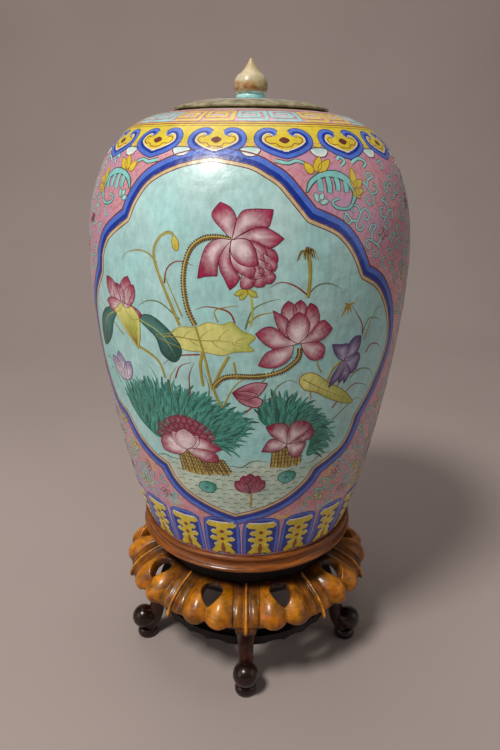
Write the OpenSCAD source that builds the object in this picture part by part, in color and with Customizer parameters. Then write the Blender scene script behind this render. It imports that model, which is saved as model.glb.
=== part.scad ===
// Covered ovoid porcelain jar on a pierced, lobed hardwood stand.
// Millimetres. The origin is on the ground, on the jar's axis. +Z is up and -Y is the front,
// where the first leg stands. Turned shapes are outlines of [radius, height] points.

/* [Jar] */
// Radius of the foot ring
jar_foot_r = 81.5; // [78:0.5:84]
// Radius of the belly, the widest place
jar_belly_r = 120.3; // [110:0.1:125]
// Height of the belly above the foot ring
jar_belly_h = 223; // [205:1:240]
// Height of the mouth rim above the foot ring
jar_h = 325.5; // [310:0.5:340]
// Wall thickness of the porcelain
jar_wall = 5; // [4:0.5:6]
// Radius of the mouth
mouth_r = 46.5; // [46:0.5:48]
// Outer radius of the unglazed mouth rim
rim_r = 52; // [51:0.5:54]

/* [Cover] */
// Radius of the cover
cover_r = 56; // [55:0.5:60]
// Thickness of the cover's edge
cover_edge = 1.6; // [1.4:0.1:2.5]
// Rise of the cover from its seat to the finial
cover_rise = 7.9; // [7.5:0.1:10]
// Depth of the locating flange below the seat
flange_depth = 10; // [6:1:14]
// Height of the bud finial
finial_h = 27.1; // [22:0.1:32]
// Radius of the bud at its widest
finial_r = 11.6; // [10.5:0.1:12.5]

/* [Stand] */
// Height of the jar's seat above the ground
seat_h = 114; // [112:1:118]
// Outer radius of the moulded collar
collar_r = 90; // [89:0.5:93]
// Height of the moulded collar
collar_h = 13; // [12:0.5:15]
// Radius at which the apron meets the waist
waist_r = 74; // [72:0.5:75]
// Radius of the apron's lower edge
apron_r = 104.5; // [102:0.5:107]
// Thickness of the apron
apron_t = 5; // [4:0.5:6]
// Number of legs
legs = 5; // [5:1:5]
// Radius of the circle of the ball toes
ball_circle_r = 96; // [95:0.5:98]
// Radius of a ball toe
ball_r = 10.2; // [9.8:0.1:10.4]
// Height of a ball toe's centre
ball_z = 19; // [19:0.5:20]
// Radius of the stretcher ring
stretcher_r = 80; // [79:0.5:81]

/* [Hidden] */
$fn = 96;

porcelain_pink = [0.82, 0.62, 0.68];
porcelain_turquoise = [0.63, 0.80, 0.78];
biscuit = [0.80, 0.74, 0.60];
light_wood = [0.62, 0.38, 0.14];
dark_wood = [0.22, 0.11, 0.07];

glue_gap = 0.1;
leg_turn = 360 / legs;

// Heights above the ground
belly_z = seat_h + jar_belly_h;
rim_z = seat_h + jar_h;
cover_top_z = rim_z + cover_rise;
board_t = 6;
board_z = seat_h - board_t;
collar_z = seat_h - 4;
apron_top_z = 90;
apron_edge_z = 67;
waist_z = 78;
pad_h = 8;
pad_circle_r = 93.5;
pad_r = 8.8;
stretcher_z = 33.5;
stretcher_h = 8;
stretcher_w = 8;
dowel_r = 2.5;
dowel_z = 84.5;
dowel_reach = 6;

// Outline helpers

// Point at t on the cubic curve with the four control points p
function bezier(p, t) =
    pow(1 - t, 3) * p[0] + 3 * pow(1 - t, 2) * t * p[1] + 3 * (1 - t) * t * t * p[2] + pow(t, 3) * p[3];

// Direction of that curve at t
function bezier_slope(p, t) =
    3 * (pow(1 - t, 2) * (p[1] - p[0]) + 2 * (1 - t) * t * (p[2] - p[1]) + t * t * (p[3] - p[2]));

// The curve in n steps, from t = a to t = b
function curve(p, n, a = 0, b = 1) = [for (i = [0:n]) bezier(p, a + (b - a) * i / n)];

// The point at t moved d to the left of the curve's direction
function beside(p, t, d) =
    let (s = bezier_slope(p, t))
    bezier(p, t) + d * [-s[1], s[0]] / norm(s);

// The curve moved d to its left
function curve_beside(p, n, d, a = 0, b = 1) = [for (i = [0:n]) beside(p, a + (b - a) * i / n, d)];

// Arc of radius r about [x, y], from angle a to angle b
function arc(x, y, r, a, b, n = 8) =
    [for (i = [0:n]) let (t = a + (b - a) * i / n) [x + r * cos(t), y + r * sin(t)]];

function reversed(list) = [for (i = [len(list) - 1:-1:0]) list[i]];

// Jar

jar_lower = [
    [jar_foot_r, seat_h],
    [jar_foot_r + 15.5, seat_h + 31],
    [jar_belly_r, belly_z - 70],
    [jar_belly_r, belly_z]
];
jar_upper = [
    [jar_belly_r, belly_z],
    [jar_belly_r, belly_z + 55],
    [rim_r + 49, rim_z - 4],
    [rim_r + 1, rim_z - 1.3]
];

module jar_body() {
    floor_z = seat_h + 14;
    floor_t = 7;
    foot_ring_w = 9;
    color(porcelain_pink)
    rotate_extrude()
        polygon(concat(
            [[jar_foot_r - foot_ring_w, seat_h], [jar_foot_r - 2, seat_h]],
            curve(jar_lower, 14, 0.02),
            curve(jar_upper, 14, 0.07),
            [[rim_r, rim_z], [mouth_r, rim_z], [mouth_r, rim_z - jar_wall - 2]],
            reversed(curve_beside(jar_upper, 14, jar_wall, 0, 0.98)),
            reversed(curve_beside(jar_lower, 12, jar_wall, 0.13, 0.95)),
            [[jar_foot_r - 13, floor_z], [0, floor_z]],
            [[0, floor_z - floor_t], [jar_foot_r - foot_ring_w - 3, floor_z - floor_t]]
        ));
}

// Cover

module cover_disc() {
    flange_r = mouth_r - 3;
    flange_w = 4;
    seat_r = 10.5;
    color(porcelain_turquoise)
    rotate_extrude()
        polygon(concat(
            [[0, cover_top_z]],
            curve([[seat_r, cover_top_z], [cover_r * 0.6, cover_top_z - 0.6],
                   [cover_r - 8, rim_z + cover_edge + 3.6], [cover_r - 1.4, rim_z + cover_edge]], 8),
            arc(cover_r - 0.8, rim_z + 0.8, 0.8, 60, -90, 5),
            [[flange_r, rim_z], [flange_r - 0.6, rim_z - flange_depth]],
            [[flange_r - flange_w, rim_z - flange_depth], [flange_r - flange_w, rim_z - 1]],
            [[0, rim_z + 3]]
        ));
}

module cover_finial() {
    foot_r = 10.4;
    neck_r = 9.4;
    neck_z = cover_top_z + 3.8;
    tip_z = cover_top_z + finial_h;
    shoulder_z = tip_z - 10;
    color(biscuit)
    rotate_extrude()
        polygon(concat(
            [[0, cover_top_z], [foot_r, cover_top_z]],
            arc(foot_r - 1.2, cover_top_z + 2.2, 1.2, 0, 70, 4),
            curve([[neck_r, neck_z], [finial_r + 2.2, neck_z + 0.6],
                   [finial_r + 1, shoulder_z - 1.5], [finial_r - 4, shoulder_z]], 10),
            curve([[finial_r - 4, shoulder_z], [finial_r - 7, shoulder_z + 2.5],
                   [2.4, tip_z - 3.6], [0.9, tip_z - 0.5]], 6),
            [[0, tip_z]]
        ));
}

// Stand

// Moulded ring round the jar's foot: a bead, a cove and a bead, with a rabbet for the board
module stand_collar() {
    top_z = collar_z + collar_h;
    bead_low = 1.7;
    bead_top = 1.9;
    well_r = jar_foot_r + 4.1;
    color(light_wood)
    rotate_extrude()
        polygon(concat(
            arc(collar_r - bead_low, collar_z + bead_low, bead_low, -90, 80),
            curve([[collar_r - 1.8, collar_z + 3.6], [collar_r - 3.4, collar_z + 5],
                   [collar_r - 4, collar_z + 7], [collar_r - 2.4, top_z - 4]], 6),
            arc(collar_r - 1.2 - bead_top, top_z - bead_top, bead_top, -60, 90),
            [[well_r, top_z - 0.4], [well_r, seat_h], [well_r + 1.2, seat_h], [well_r + 1.2, collar_z]]
        ));
}

// Round board that the jar stands on, let into the collar
module seat_board() {
    color(dark_wood)
    translate([0, 0, board_z])
        cylinder(h = board_t, r = jar_foot_r + 5.3 - glue_gap);
}

// Recessed ring between the board and the apron, drilled for the leg dowels
module waist_ring() {
    inner_r = waist_r - 10;
    straight_z = 96;
    color(dark_wood)
    difference() {
        rotate_extrude()
            polygon(concat(
                [[inner_r, waist_z], [waist_r, waist_z]],
                curve([[waist_r, straight_z], [waist_r, board_z - 5],
                       [waist_r + 2, board_z - 2], [waist_r + 7, board_z - 1]], 6),
                [[waist_r + 7, board_z], [inner_r, board_z]]
            ));
        for (i = [0:legs - 1])
            rotate([0, 0, i * leg_turn])
                dowel_bore();
    }
}

// Radial hole on the front leg's centre line, through the joint of leg and waist
module dowel_bore() {
    translate([0, -waist_r + dowel_reach, dowel_z])
        rotate([90, 0, 0])
            cylinder(h = 2 * dowel_reach + 0.4, r = dowel_r + 0.05);
}

module leg_dowels() {
    color(light_wood)
    for (i = [0:legs - 1])
        rotate([0, 0, i * leg_turn])
            translate([0, -waist_r + dowel_reach - 0.2, dowel_z])
                rotate([90, 0, 0])
                    cylinder(h = 2 * dowel_reach, r = dowel_r);
}

// Apron: five lobed and pierced segments, each fitted between two legs

knee_half_w = 10;
unit_turn = leg_turn / 2;
apron_line = [
    [waist_r + 0.2, apron_top_z],
    [waist_r + 11, apron_top_z - 5],
    [apron_r - 5.5, apron_edge_z + 15],
    [apron_r, apron_edge_z]
];

// Angle from the nearest rib to the angle a, from 0 on a rib to half a unit at a cleft
function from_rib(a) = let (m = a % unit_turn) min(m, unit_turn - m);

// Share of the apron's line that the lobe reaches at the angle f from its rib
function apron_reach(f) =
    let (lobe = 12, half = 7, x = min(1, abs(f - lobe) / half))
    f < lobe - 0.75 * half ? 0.93 : 0.72 + 0.25 * sqrt(1 - x * x);

// How far the carving stands proud at the angle f from its rib
function lobe_bulge(f) =
    f < 1.6 ? 2.4
    : f < 7 ? 0.6 + 1.2 * sin(180 * (f - 1.6) / 5.4)
    : 0.6 + 4 * sin(180 * (f - 7) / 12);

function lobe_fade(t) = sin(90 * min(1, t / 0.75));

// Angle at the share s of the way along a segment, where the radius is r
function segment_angle(s, r) =
    let (start = asin((knee_half_w + glue_gap) / r))
    start + (leg_turn - 2 * start) * s;

// Point of a segment's face: s along it, u down its line, and deep 0 in front or 1 behind
function apron_point(s, u, deep) =
    let (
        f = from_rib(leg_turn * s),
        t = u * apron_reach(f),
        line = beside(apron_line, t, lobe_bulge(f) * lobe_fade(t) * (1 - 0.5 * deep) - apron_t * deep),
        r = max(line[0], waist_r + 0.2),
        a = segment_angle(s, r)
    )
    [r * sin(a), -r * cos(a), line[1]];

module apron_segment() {
    columns = 30;
    rows = 6;
    side = (columns + 1) * (rows + 1);
    points = [
        for (deep = [0, 1]) for (i = [0:columns]) for (j = [0:rows])
            apron_point(i / columns, j / rows, deep)
    ];
    // Number of the point in column i and row j of the front or the back
    function at(i, j, deep) = deep * side + i * (rows + 1) + j;
    front = [for (i = [0:columns - 1]) for (j = [0:rows - 1])
        each quad(at(i, j, 0), at(i, j + 1, 0), at(i + 1, j + 1, 0), at(i + 1, j, 0))];
    back = [for (i = [0:columns - 1]) for (j = [0:rows - 1])
        each quad(at(i, j, 1), at(i + 1, j, 1), at(i + 1, j + 1, 1), at(i, j + 1, 1))];
    ends = [for (j = [0:rows - 1])
        each concat(
            quad(at(0, j, 0), at(0, j, 1), at(0, j + 1, 1), at(0, j + 1, 0)),
            quad(at(columns, j, 0), at(columns, j + 1, 0), at(columns, j + 1, 1), at(columns, j, 1))
        )];
    edges = [for (i = [0:columns - 1])
        each concat(
            quad(at(i, 0, 0), at(i + 1, 0, 0), at(i + 1, 0, 1), at(i, 0, 1)),
            quad(at(i, rows, 0), at(i, rows, 1), at(i + 1, rows, 1), at(i + 1, rows, 0))
        )];
    difference() {
        polyhedron(points, concat(front, back, ends, edges));
        for (k = [0.25, 0.75])
            rotate([0, 0, leg_turn * k])
                piercing();
    }
}

function quad(a, b, c, d) = [[a, b, c], [a, c, d]];

// Drop-shaped hole, cut straight down through the cleft between two lobes
module piercing() {
    hole_r = 6.8;
    stretch = 1.22;
    centre_r = 84.6;
    tip_r = 95.5;
    reach = tip_r - centre_r;
    spread = acos(hole_r / reach);
    translate([0, -centre_r, waist_z - 20])
        linear_extrude(height = 50)
            scale([stretch, 1]) {
                circle(r = hole_r, $fn = 40);
                polygon([
                    [0, -reach],
                    hole_r * [sin(spread), -cos(spread)],
                    [0, 0],
                    hole_r * [-sin(spread), -cos(spread)]
                ]);
            }
}

// Leg: side outline and front outline cut through each other, as a carver saws them

leg_side = concat(
    curve(apron_line, 8),
    [[apron_r + 1.3, apron_edge_z - 2.5]],
    curve([[apron_r + 0.5, apron_edge_z - 4.5], [96, 56], [88.5, 50], [89, 33]], 8),
    [[93, 26], [pad_circle_r + 2, 16], [pad_circle_r + 2, pad_h], [pad_circle_r - 7, pad_h]],
    curve([[84.5, 9.5], [78.5, 16], [77, 34], [80.5, 47]], 8),
    curve([[81.5, 51], [85, 62], [86, 74], [waist_r + 0.2, 79]], 6)
);

module leg_front() {
    right = concat(
        [[6.8, pad_h], [6.3, 16], [6.1, 30], [6.7, 40]],
        curve([[7, 44], [8.2, 52], [8.8, 57], [knee_half_w, 62]], 6),
        [[knee_half_w, apron_top_z + 4]]
    );
    polygon(concat(right, [for (p = reversed(right)) [-p[0], p[1]]]));
}

// Front leg, with its raised rib, the seat of its ball and its dowel hole
module leg() {
    rib_half_w = 2.2;
    rib = concat(
        curve_beside(apron_line, 8, 2.4, 0.04, 1),
        [[apron_r + 2.6, apron_edge_z - 3.4], [apron_r - 2, apron_edge_z - 3.4]],
        reversed(curve_beside(apron_line, 8, -1, 0.04, 0.9))
    );
    difference() {
        union() {
            intersection() {
                upright(2 * knee_half_w) polygon(leg_side);
                rotate([90, 0, 0])
                    linear_extrude(height = 1.2 * apron_r)
                        leg_front();
            }
            upright(2 * rib_half_w) polygon(rib);
        }
        translate([0, -ball_circle_r, ball_z])
            sphere(r = ball_r + glue_gap);
        translate([0, 0, stretcher_z - glue_gap])
            cylinder(h = stretcher_h + 2 * glue_gap, r = stretcher_r + glue_gap);
        dowel_bore();
    }
}

// A [radius, height] outline stood up on the front leg's centre plane, w thick
module upright(w) {
    rotate([0, 0, -90])
        rotate([90, 0, 0])
            linear_extrude(height = w, center = true)
                children();
}

module ball_toe() {
    translate([0, -ball_circle_r, ball_z])
        sphere(r = ball_r);
}

module foot_pad() {
    translate([0, -pad_circle_r, 0])
        rotate_extrude()
            polygon(concat(
                [[0, 0], [pad_r - 1.6, 0]],
                curve([[pad_r - 1.6, 0], [pad_r + 0.4, 1.2], [pad_r + 0.6, 5.4], [pad_r - 1.8, pad_h]], 6),
                [[0, pad_h]]
            ));
}

// Ring that ties the legs below the apron, with a scalloped lower edge
module stretcher_ring() {
    inner_r = stretcher_r - stretcher_w;
    scallops = 4;
    scallop_turn = 12.6;
    color(dark_wood)
    difference() {
        translate([0, 0, stretcher_z])
            difference() {
                cylinder(h = stretcher_h, r = stretcher_r);
                translate([0, 0, -1])
                    cylinder(h = stretcher_h + 2, r = inner_r);
            }
        for (i = [0:legs - 1])
            for (k = [0:scallops - 1])
                rotate([0, 0, i * leg_turn + unit_turn + (k - (scallops - 1) / 2) * scallop_turn])
                    translate([0, -inner_r + 2, stretcher_z - 15])
                        rotate([90, 0, 0])
                            cylinder(h = stretcher_w + 4, r = 17);
    }
}

jar_body();
cover_disc();
cover_finial();
stand_collar();
seat_board();
waist_ring();
for (i = [1:legs]) {
    color(light_wood) rotate([0, 0, (i - 1) * leg_turn]) apron_segment();
    color(dark_wood) rotate([0, 0, (i - 1) * leg_turn]) leg();
    color(dark_wood) rotate([0, 0, (i - 1) * leg_turn]) ball_toe();
    color(dark_wood) rotate([0, 0, (i - 1) * leg_turn]) foot_pad();
}
leg_dowels();
stretcher_ring();
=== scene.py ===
"""Looks of the covered ginger jar on its carved stand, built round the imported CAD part."""

import math

import bpy
from mathutils import Matrix, Vector, noise
from mathutils.geometry import convex_hull_2d, delaunay_2d_cdt


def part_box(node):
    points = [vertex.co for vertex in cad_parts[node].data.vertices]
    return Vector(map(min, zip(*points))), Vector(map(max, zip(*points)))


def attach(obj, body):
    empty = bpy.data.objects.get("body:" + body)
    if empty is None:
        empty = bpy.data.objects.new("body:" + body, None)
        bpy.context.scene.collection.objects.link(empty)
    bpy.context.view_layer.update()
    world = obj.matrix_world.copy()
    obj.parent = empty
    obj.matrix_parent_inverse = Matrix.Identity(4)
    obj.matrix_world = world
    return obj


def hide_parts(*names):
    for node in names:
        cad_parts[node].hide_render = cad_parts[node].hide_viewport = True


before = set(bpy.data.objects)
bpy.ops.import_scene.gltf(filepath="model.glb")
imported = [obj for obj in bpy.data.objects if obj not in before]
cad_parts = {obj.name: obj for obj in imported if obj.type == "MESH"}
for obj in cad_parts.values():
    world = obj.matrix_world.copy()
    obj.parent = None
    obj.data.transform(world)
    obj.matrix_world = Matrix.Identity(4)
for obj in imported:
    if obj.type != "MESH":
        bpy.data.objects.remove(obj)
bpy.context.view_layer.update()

MM = 0.001
FRONT = -90
LAYER = 0.07
SUNK = -0.05


# Colours


def linear(channel):
    channel /= 255
    return channel / 12.92 if channel <= 0.04045 else ((channel + 0.055) / 1.055) ** 2.4


def rgb(red, green, blue):
    return (linear(red), linear(green), linear(blue), 1.0)


def mixed(first, second, share):
    share = min(1.0, max(0.0, share))
    return tuple(a + (b - a) * share for a, b in zip(first, second))


def eased(value, low, high):
    share = min(1.0, max(0.0, (value - low) / (high - low)))
    return share * share * (3 - 2 * share)


TURQUOISE = rgb(145, 214, 213)
CREAM = rgb(214, 214, 190)
PINK = rgb(212, 150, 160)
LILAC = rgb(196, 150, 186)
YELLOW = rgb(226, 200, 54)
PALE_YELLOW = rgb(226, 222, 132)
LIGHT_BLUE = rgb(80, 116, 212)
BLUE = rgb(14, 50, 152)
ROSE = rgb(160, 10, 70)
BLUSH = rgb(244, 222, 226)
WINE = rgb(112, 14, 52)
GREEN = rgb(14, 140, 112)
DEEP_GREEN = rgb(16, 78, 68)
LEAF_GREEN = rgb(182, 194, 84)
OCHRE = rgb(158, 120, 40)
INK = rgb(70, 44, 34)
RED_BROWN = rgb(150, 50, 40)
GOLD = rgb(214, 160, 70)
PURPLE = rgb(76, 52, 124)
LAVENDER = rgb(214, 200, 232)
WHITE = rgb(244, 240, 236)


# Curves on a chart: points are (degrees round the jar, millimetres up its outside)


def spline(points, steps=6):
    """A smooth open line through the points."""
    line = []
    last = len(points) - 1
    for i in range(last):
        before, here = points[max(i - 1, 0)], points[i]
        after, beyond = points[i + 1], points[min(i + 2, last)]
        for step in range(steps):
            line.append(between(before, here, after, beyond, step / steps))
    line.append(tuple(points[-1]))
    return line


def ring(points, steps=6):
    """A smooth closed outline through the points."""
    count = len(points)
    line = []
    for i in range(count):
        around = [points[(i + k) % count] for k in (-1, 0, 1, 2)]
        for step in range(steps):
            line.append(between(*around, step / steps))
    return line


def between(before, here, after, beyond, t):
    """The Catmull-Rom point at the share t of the way from here to after."""
    return tuple(
        0.5 * (2 * q + (r - p) * t + (2 * p - 5 * q + 4 * r - s) * t * t + (3 * q - p - 3 * r + s) * t ** 3)
        for p, q, r, s in zip(before, here, after, beyond)
    )


def inside(outline, point):
    """Whether the point is inside the closed outline."""
    x, y = point
    found = False
    for (x1, y1), (x2, y2) in zip(outline, outline[1:] + outline[:1]):
        if (y1 > y) != (y2 > y) and x < x1 + (y - y1) / (y2 - y1) * (x2 - x1):
            found = not found
    return found


class Chart:
    """The outside of a turned body: degrees round it from the front, and millimetres up its outline."""

    def __init__(self, outline, start=0.0):
        self.outline = outline
        self.lengths = [start]
        for a, b in zip(outline, outline[1:]):
            self.lengths.append(self.lengths[-1] + math.dist(a, b) / MM)
        self.top = self.lengths[-1]

    def at(self, up):
        """(radius, height, outward radius part, outward height part) at a length up the outline."""
        low, high = 0, len(self.lengths) - 1
        while high - low > 1:
            middle = (low + high) // 2
            low, high = (middle, high) if self.lengths[middle] <= up else (low, middle)
        (r1, z1), (r2, z2) = self.outline[low], self.outline[low + 1]
        length = self.lengths[low + 1] - self.lengths[low]
        share = (up - self.lengths[low]) / length
        run = math.hypot(r2 - r1, z2 - z1)
        return r1 + (r2 - r1) * share, z1 + (z2 - z1) * share, (z2 - z1) / run, (r1 - r2) / run

    def spread(self, up):
        """Millimetres in one degree at a length up the outline."""
        return math.radians(self.at(up)[0]) / MM

    def place(self, az, up, lift=0.0):
        radius, height, out_r, out_z = self.at(up)
        radius += out_r * lift * MM
        turn = math.radians(az + FRONT)
        return (radius * math.cos(turn), radius * math.sin(turn), height + out_z * lift * MM)


def outer_outline(node):
    """(radius, height) points up the outside of a turned CAD node whose outline bulges."""
    found = sorted({(round(v.co.xy.length, 5), round(v.co.z, 5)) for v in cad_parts[node].data.vertices})
    hull = [found[i] for i in convex_hull_2d([Vector(p) for p in found])]
    low = hull.index(min(hull, key=lambda p: (p[1], -p[0])))
    hull = hull[low:] + hull[:low]
    if hull[1][0] < hull[0][0]:
        hull = hull[:1] + hull[:0:-1]
    top = hull.index(max(hull, key=lambda p: (p[1], p[0])))
    return hull[: top + 1]


# Enamel: closed raised shapes in one mesh, with their colours on the vertices


class Enamel:
    def __init__(self, name, chart):
        self.name = name
        self.chart = chart
        self.points = []
        self.faces = []
        self.colours = []

    def moved(self, points, az, up, size=1.0, turn=0.0, mirror=False):
        """Points of a motif drawn about (0, 0), in millimetres, set down at (az, up)."""
        cosine = math.cos(math.radians(turn)) * size
        sine = math.sin(math.radians(turn)) * size
        spread = self.chart.spread(up)
        side = -1 if mirror else 1
        return [(az + side * (x * cosine - y * sine) / spread, up + x * sine + y * cosine) for x, y in points]

    def shell(self, flat, triangles, paint, layer):
        """A closed slab from a flat triangle mesh: a raised face, a sunk face and a wall between them."""
        start = len(self.points)
        count = len(flat)
        for lift in (layer * LAYER, SUNK):
            for az, up in flat:
                self.points.append(self.chart.place(az, up, lift))
                self.colours.append(paint(az, up) if callable(paint) else paint)
        sides = {}
        for face in triangles:
            self.faces.append([start + i for i in face])
            self.faces.append([start + count + i for i in reversed(face)])
            for a, b in zip(face, face[1:] + face[:1]):
                sides[(a, b)] = (b, a) not in sides and (a, b) not in sides
                if (b, a) in sides:
                    sides[(b, a)] = sides[(a, b)] = False
        for (a, b), open_side in sides.items():
            if open_side:
                self.faces.append([start + b, start + a, start + count + a, start + count + b])

    def fill(self, outline, paint, layer, grain=2.6):
        """A filled shape inside a closed outline."""
        middle = sum(up for az, up in outline) / len(outline)
        spread = self.chart.spread(middle)
        edge = resampled([(az * spread, up) for az, up in outline], grain, closed=True)
        if len(edge) < 3:
            return
        inner = grid_inside(edge, grain)
        count = len(edge)
        rim = [(i, (i + 1) % count) for i in range(count)]
        found = delaunay_2d_cdt([Vector(p) for p in edge + inner], rim, [list(range(count))], 1, 1e-4)
        flat = [(p.x / spread, p.y) for p in found[0]]
        triangles = [list(f) for f in found[2]]
        used = sorted({i for f in triangles for i in f})
        number = {old: new for new, old in enumerate(used)}
        turned = [[number[i] for i in f] for f in triangles]
        flat = [flat[i] for i in used]
        turned = [f if area(flat, f) > 0 else f[::-1] for f in turned]
        self.shell(flat, turned, paint, layer)

    def stroke(self, line, width, paint, layer, taper=0.0, shift=0.0, closed=False, grain=1.6):
        """A rounded ribbon along a line. Taper thins it towards its end, and shift moves it to its left."""
        path = resampled_on(self.chart, line, grain, closed)
        count = len(path)
        if count < 2:
            return
        start = len(self.points)
        for i, (az, up) in enumerate(path):
            before = path[(i - 1) % count] if closed else path[max(i - 1, 0)]
            after = path[(i + 1) % count] if closed else path[min(i + 1, count - 1)]
            spread = self.chart.spread(up)
            run, rise = (after[0] - before[0]) * spread, after[1] - before[1]
            length = math.hypot(run, rise) or 1.0
            left = (-rise / length, run / length)
            share = i / (count - 1)
            half = 0.5 * width * (1 - taper * share ** 1.5)
            if taper < 0:
                half = 0.5 * width * (0.25 + 0.75 * math.sin(math.pi * min(max(share, 0.04), 0.96)))
            half *= 1 + 0.2 * noise.noise(Vector((az * 0.35, up * 0.25, width)))
            for across, lift in ((-1, SUNK), (-1, 0.75), (0, 1), (1, 0.75), (1, SUNK)):
                aside = shift + across * half
                height = SUNK if lift == SUNK else layer * LAYER * lift
                place = (az + left[0] * aside / spread, up + left[1] * aside)
                self.points.append(self.chart.place(*place, height))
                self.colours.append(paint(*place) if callable(paint) else paint)
        loops = count if closed else count - 1
        for i in range(loops):
            a, b = start + 5 * i, start + 5 * ((i + 1) % count)
            for k in range(5):
                n = (k + 1) % 5
                self.faces.append([a + k, b + k, b + n, a + n])
        if not closed:
            self.faces.append([start + k for k in range(5)])
            self.faces.append([start + 5 * (count - 1) + k for k in reversed(range(5))])

    def hoop(self, up, width, paint, layer):
        """A ribbon right round the body, joined at the back."""
        self.stroke([(2 * k - 180, up) for k in range(181)], width, paint, layer)

    def repeat_behind(self):
        """Adds the same painting again, turned half round."""
        count = len(self.points)
        self.points += [(-x, -y, z) for x, y, z in self.points]
        self.faces += [[i + count for i in face] for face in self.faces]
        self.colours += self.colours

    def make(self, material, body, slot):
        mesh = bpy.data.meshes.new(self.name)
        mesh.from_pydata(self.points, [], self.faces)
        mesh.update()
        mesh.shade_smooth()
        mesh.set_sharp_from_angle(angle=math.radians(40))
        paint = mesh.color_attributes.new("paint", "FLOAT_COLOR", "POINT")
        paint.data.foreach_set("color", [c for colour in self.colours for c in colour])
        mesh.materials.append(material)
        piece = bpy.data.objects.new(self.name, mesh)
        bpy.context.scene.collection.objects.link(piece)
        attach(piece, body)
        return piece


def area(flat, face):
    (x1, y1), (x2, y2), (x3, y3) = (flat[i] for i in face)
    return (x2 - x1) * (y3 - y1) - (x3 - x1) * (y2 - y1)


def resampled(line, longest, closed=False):
    """The line with no side longer than the given length, and no two points on one spot."""
    ends = line[1:] + line[:1] if closed else line[1:]
    points = [] if closed else [line[0]]
    for a, b in zip(line, ends):
        length = math.dist(a, b)
        if length < 0.02:
            continue
        steps = math.ceil(length / longest)
        share = range(steps) if closed else range(1, steps + 1)
        points += [(a[0] + (b[0] - a[0]) * i / steps, a[1] + (b[1] - a[1]) * i / steps) for i in share]
    return points


def resampled_on(chart, line, longest, closed):
    """The same for a line of (degrees, millimetres) points on a chart."""
    spread = chart.spread(sum(up for az, up in line) / len(line))
    points = resampled([(az * spread, up) for az, up in line], longest, closed)
    return [(x / spread, y) for x, y in points]


def grid_inside(edge, grain):
    """Points of a three-cornered grid that lie inside the outline, clear of its edge."""
    rows = grain * 0.87
    low = min(y for x, y in edge)
    high = max(y for x, y in edge)
    points = []
    row = 0
    y = low + rows
    while y < high:
        crossings = sorted(
            x1 + (y - y1) / (y2 - y1) * (x2 - x1)
            for (x1, y1), (x2, y2) in zip(edge, edge[1:] + edge[:1])
            if (y1 > y) != (y2 > y)
        )
        for left, right in zip(crossings[::2], crossings[1::2]):
            x = grain * (math.ceil(left / grain) + 0.5 * (row % 2))
            while x < right - 0.4 * grain:
                if x > left + 0.4 * grain:
                    points.append((x, y))
                x += grain
        row += 1
        y += rows
    return points


# Brushwork shared by the flowers


def shaded(coat, outline, base, tip, root, edge, layer, line=WINE, line_width=0.6):
    """A petal or leaf: root colour at its base runs to edge colour at its tip and rim, inside a thin dark line."""
    spread = coat.chart.spread(base[1])
    run, rise = (tip[0] - base[0]) * spread, tip[1] - base[1]
    length = math.hypot(run, rise)
    rim = [(az * spread, up) for az, up in outline[::2]]

    def paint(az, up):
        x, y = (az - base[0]) * spread, up - base[1]
        along = (x * run + y * rise) / length ** 2
        streak = 0.16 * noise.noise(Vector(((x * rise - y * run) / length * 1.4, along * 1.5, base[0] + tip[1])))
        nearest = min(math.hypot(az * spread - rim_x, up - rim_y) for rim_x, rim_y in rim)
        by_rim = (1 - eased(nearest, 0.3, 4.2)) * eased(along, 0.05, 0.5)
        return mixed(root, edge, max(eased(along + streak, 0.42, 1.0), 0.95 * by_rim) ** 0.6)

    coat.fill(outline, paint, layer, grain=1.5)
    coat.stroke(outline, line_width, line, layer + 0.7, closed=True)


def petal_outline(chart, base, tip, width, bend=0.0, full=0.9, steps=9):
    """The outline of a pointed petal from base to tip, bent to its left, widest after its middle where full is over 1."""
    spread = chart.spread(0.5 * (base[1] + tip[1]))
    run, rise = (tip[0] - base[0]) * spread, tip[1] - base[1]
    length = math.hypot(run, rise)
    left = (-rise / length, run / length)
    sides = []
    for side in (1, -1):
        edge = []
        for i in range(steps + 1):
            t = i / steps
            aside = side * 0.5 * width * math.sin(math.pi * t ** full) ** 0.75 + bend * math.sin(math.pi * t)
            edge.append((base[0] + (run * t + left[0] * aside) / spread, base[1] + rise * t + left[1] * aside))
        sides.append(edge)
    return sides[0] + sides[1][-2:0:-1]


def sided(*sides):
    """A closed outline from open smooth sides, with a sharp corner where one ends and the next begins."""
    outline = []
    for side in sides:
        outline += spline(side, 5)[:-1]
    return outline


def petal(coat, base, tip, width, layer, root=BLUSH, edge=ROSE, line=WINE, bend=0.0, full=1.1, veins=3):
    """A pointed petal with fine veins."""
    outline = petal_outline(coat.chart, base, tip, width, bend, full)
    shaded(coat, outline, base, tip, root, edge, layer, line)
    spread = coat.chart.spread(0.5 * (base[1] + tip[1]))
    run, rise = (tip[0] - base[0]) * spread, tip[1] - base[1]
    length = math.hypot(run, rise)
    for k in range(veins):
        share = (k + 0.5) / veins * 2 - 1
        vein = []
        for t in (0.2, 0.45, 0.7, 0.9):
            aside = 0.34 * share * width * math.sin(math.pi * t ** full) + bend * math.sin(math.pi * t)
            vein.append((base[0] + (run * t - rise / length * aside) / spread,
                         base[1] + rise * t + run / length * aside))
        coat.stroke(spline(vein, 3), 0.4, mixed(edge, line, 0.3), layer + 0.35, taper=-1)


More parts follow.
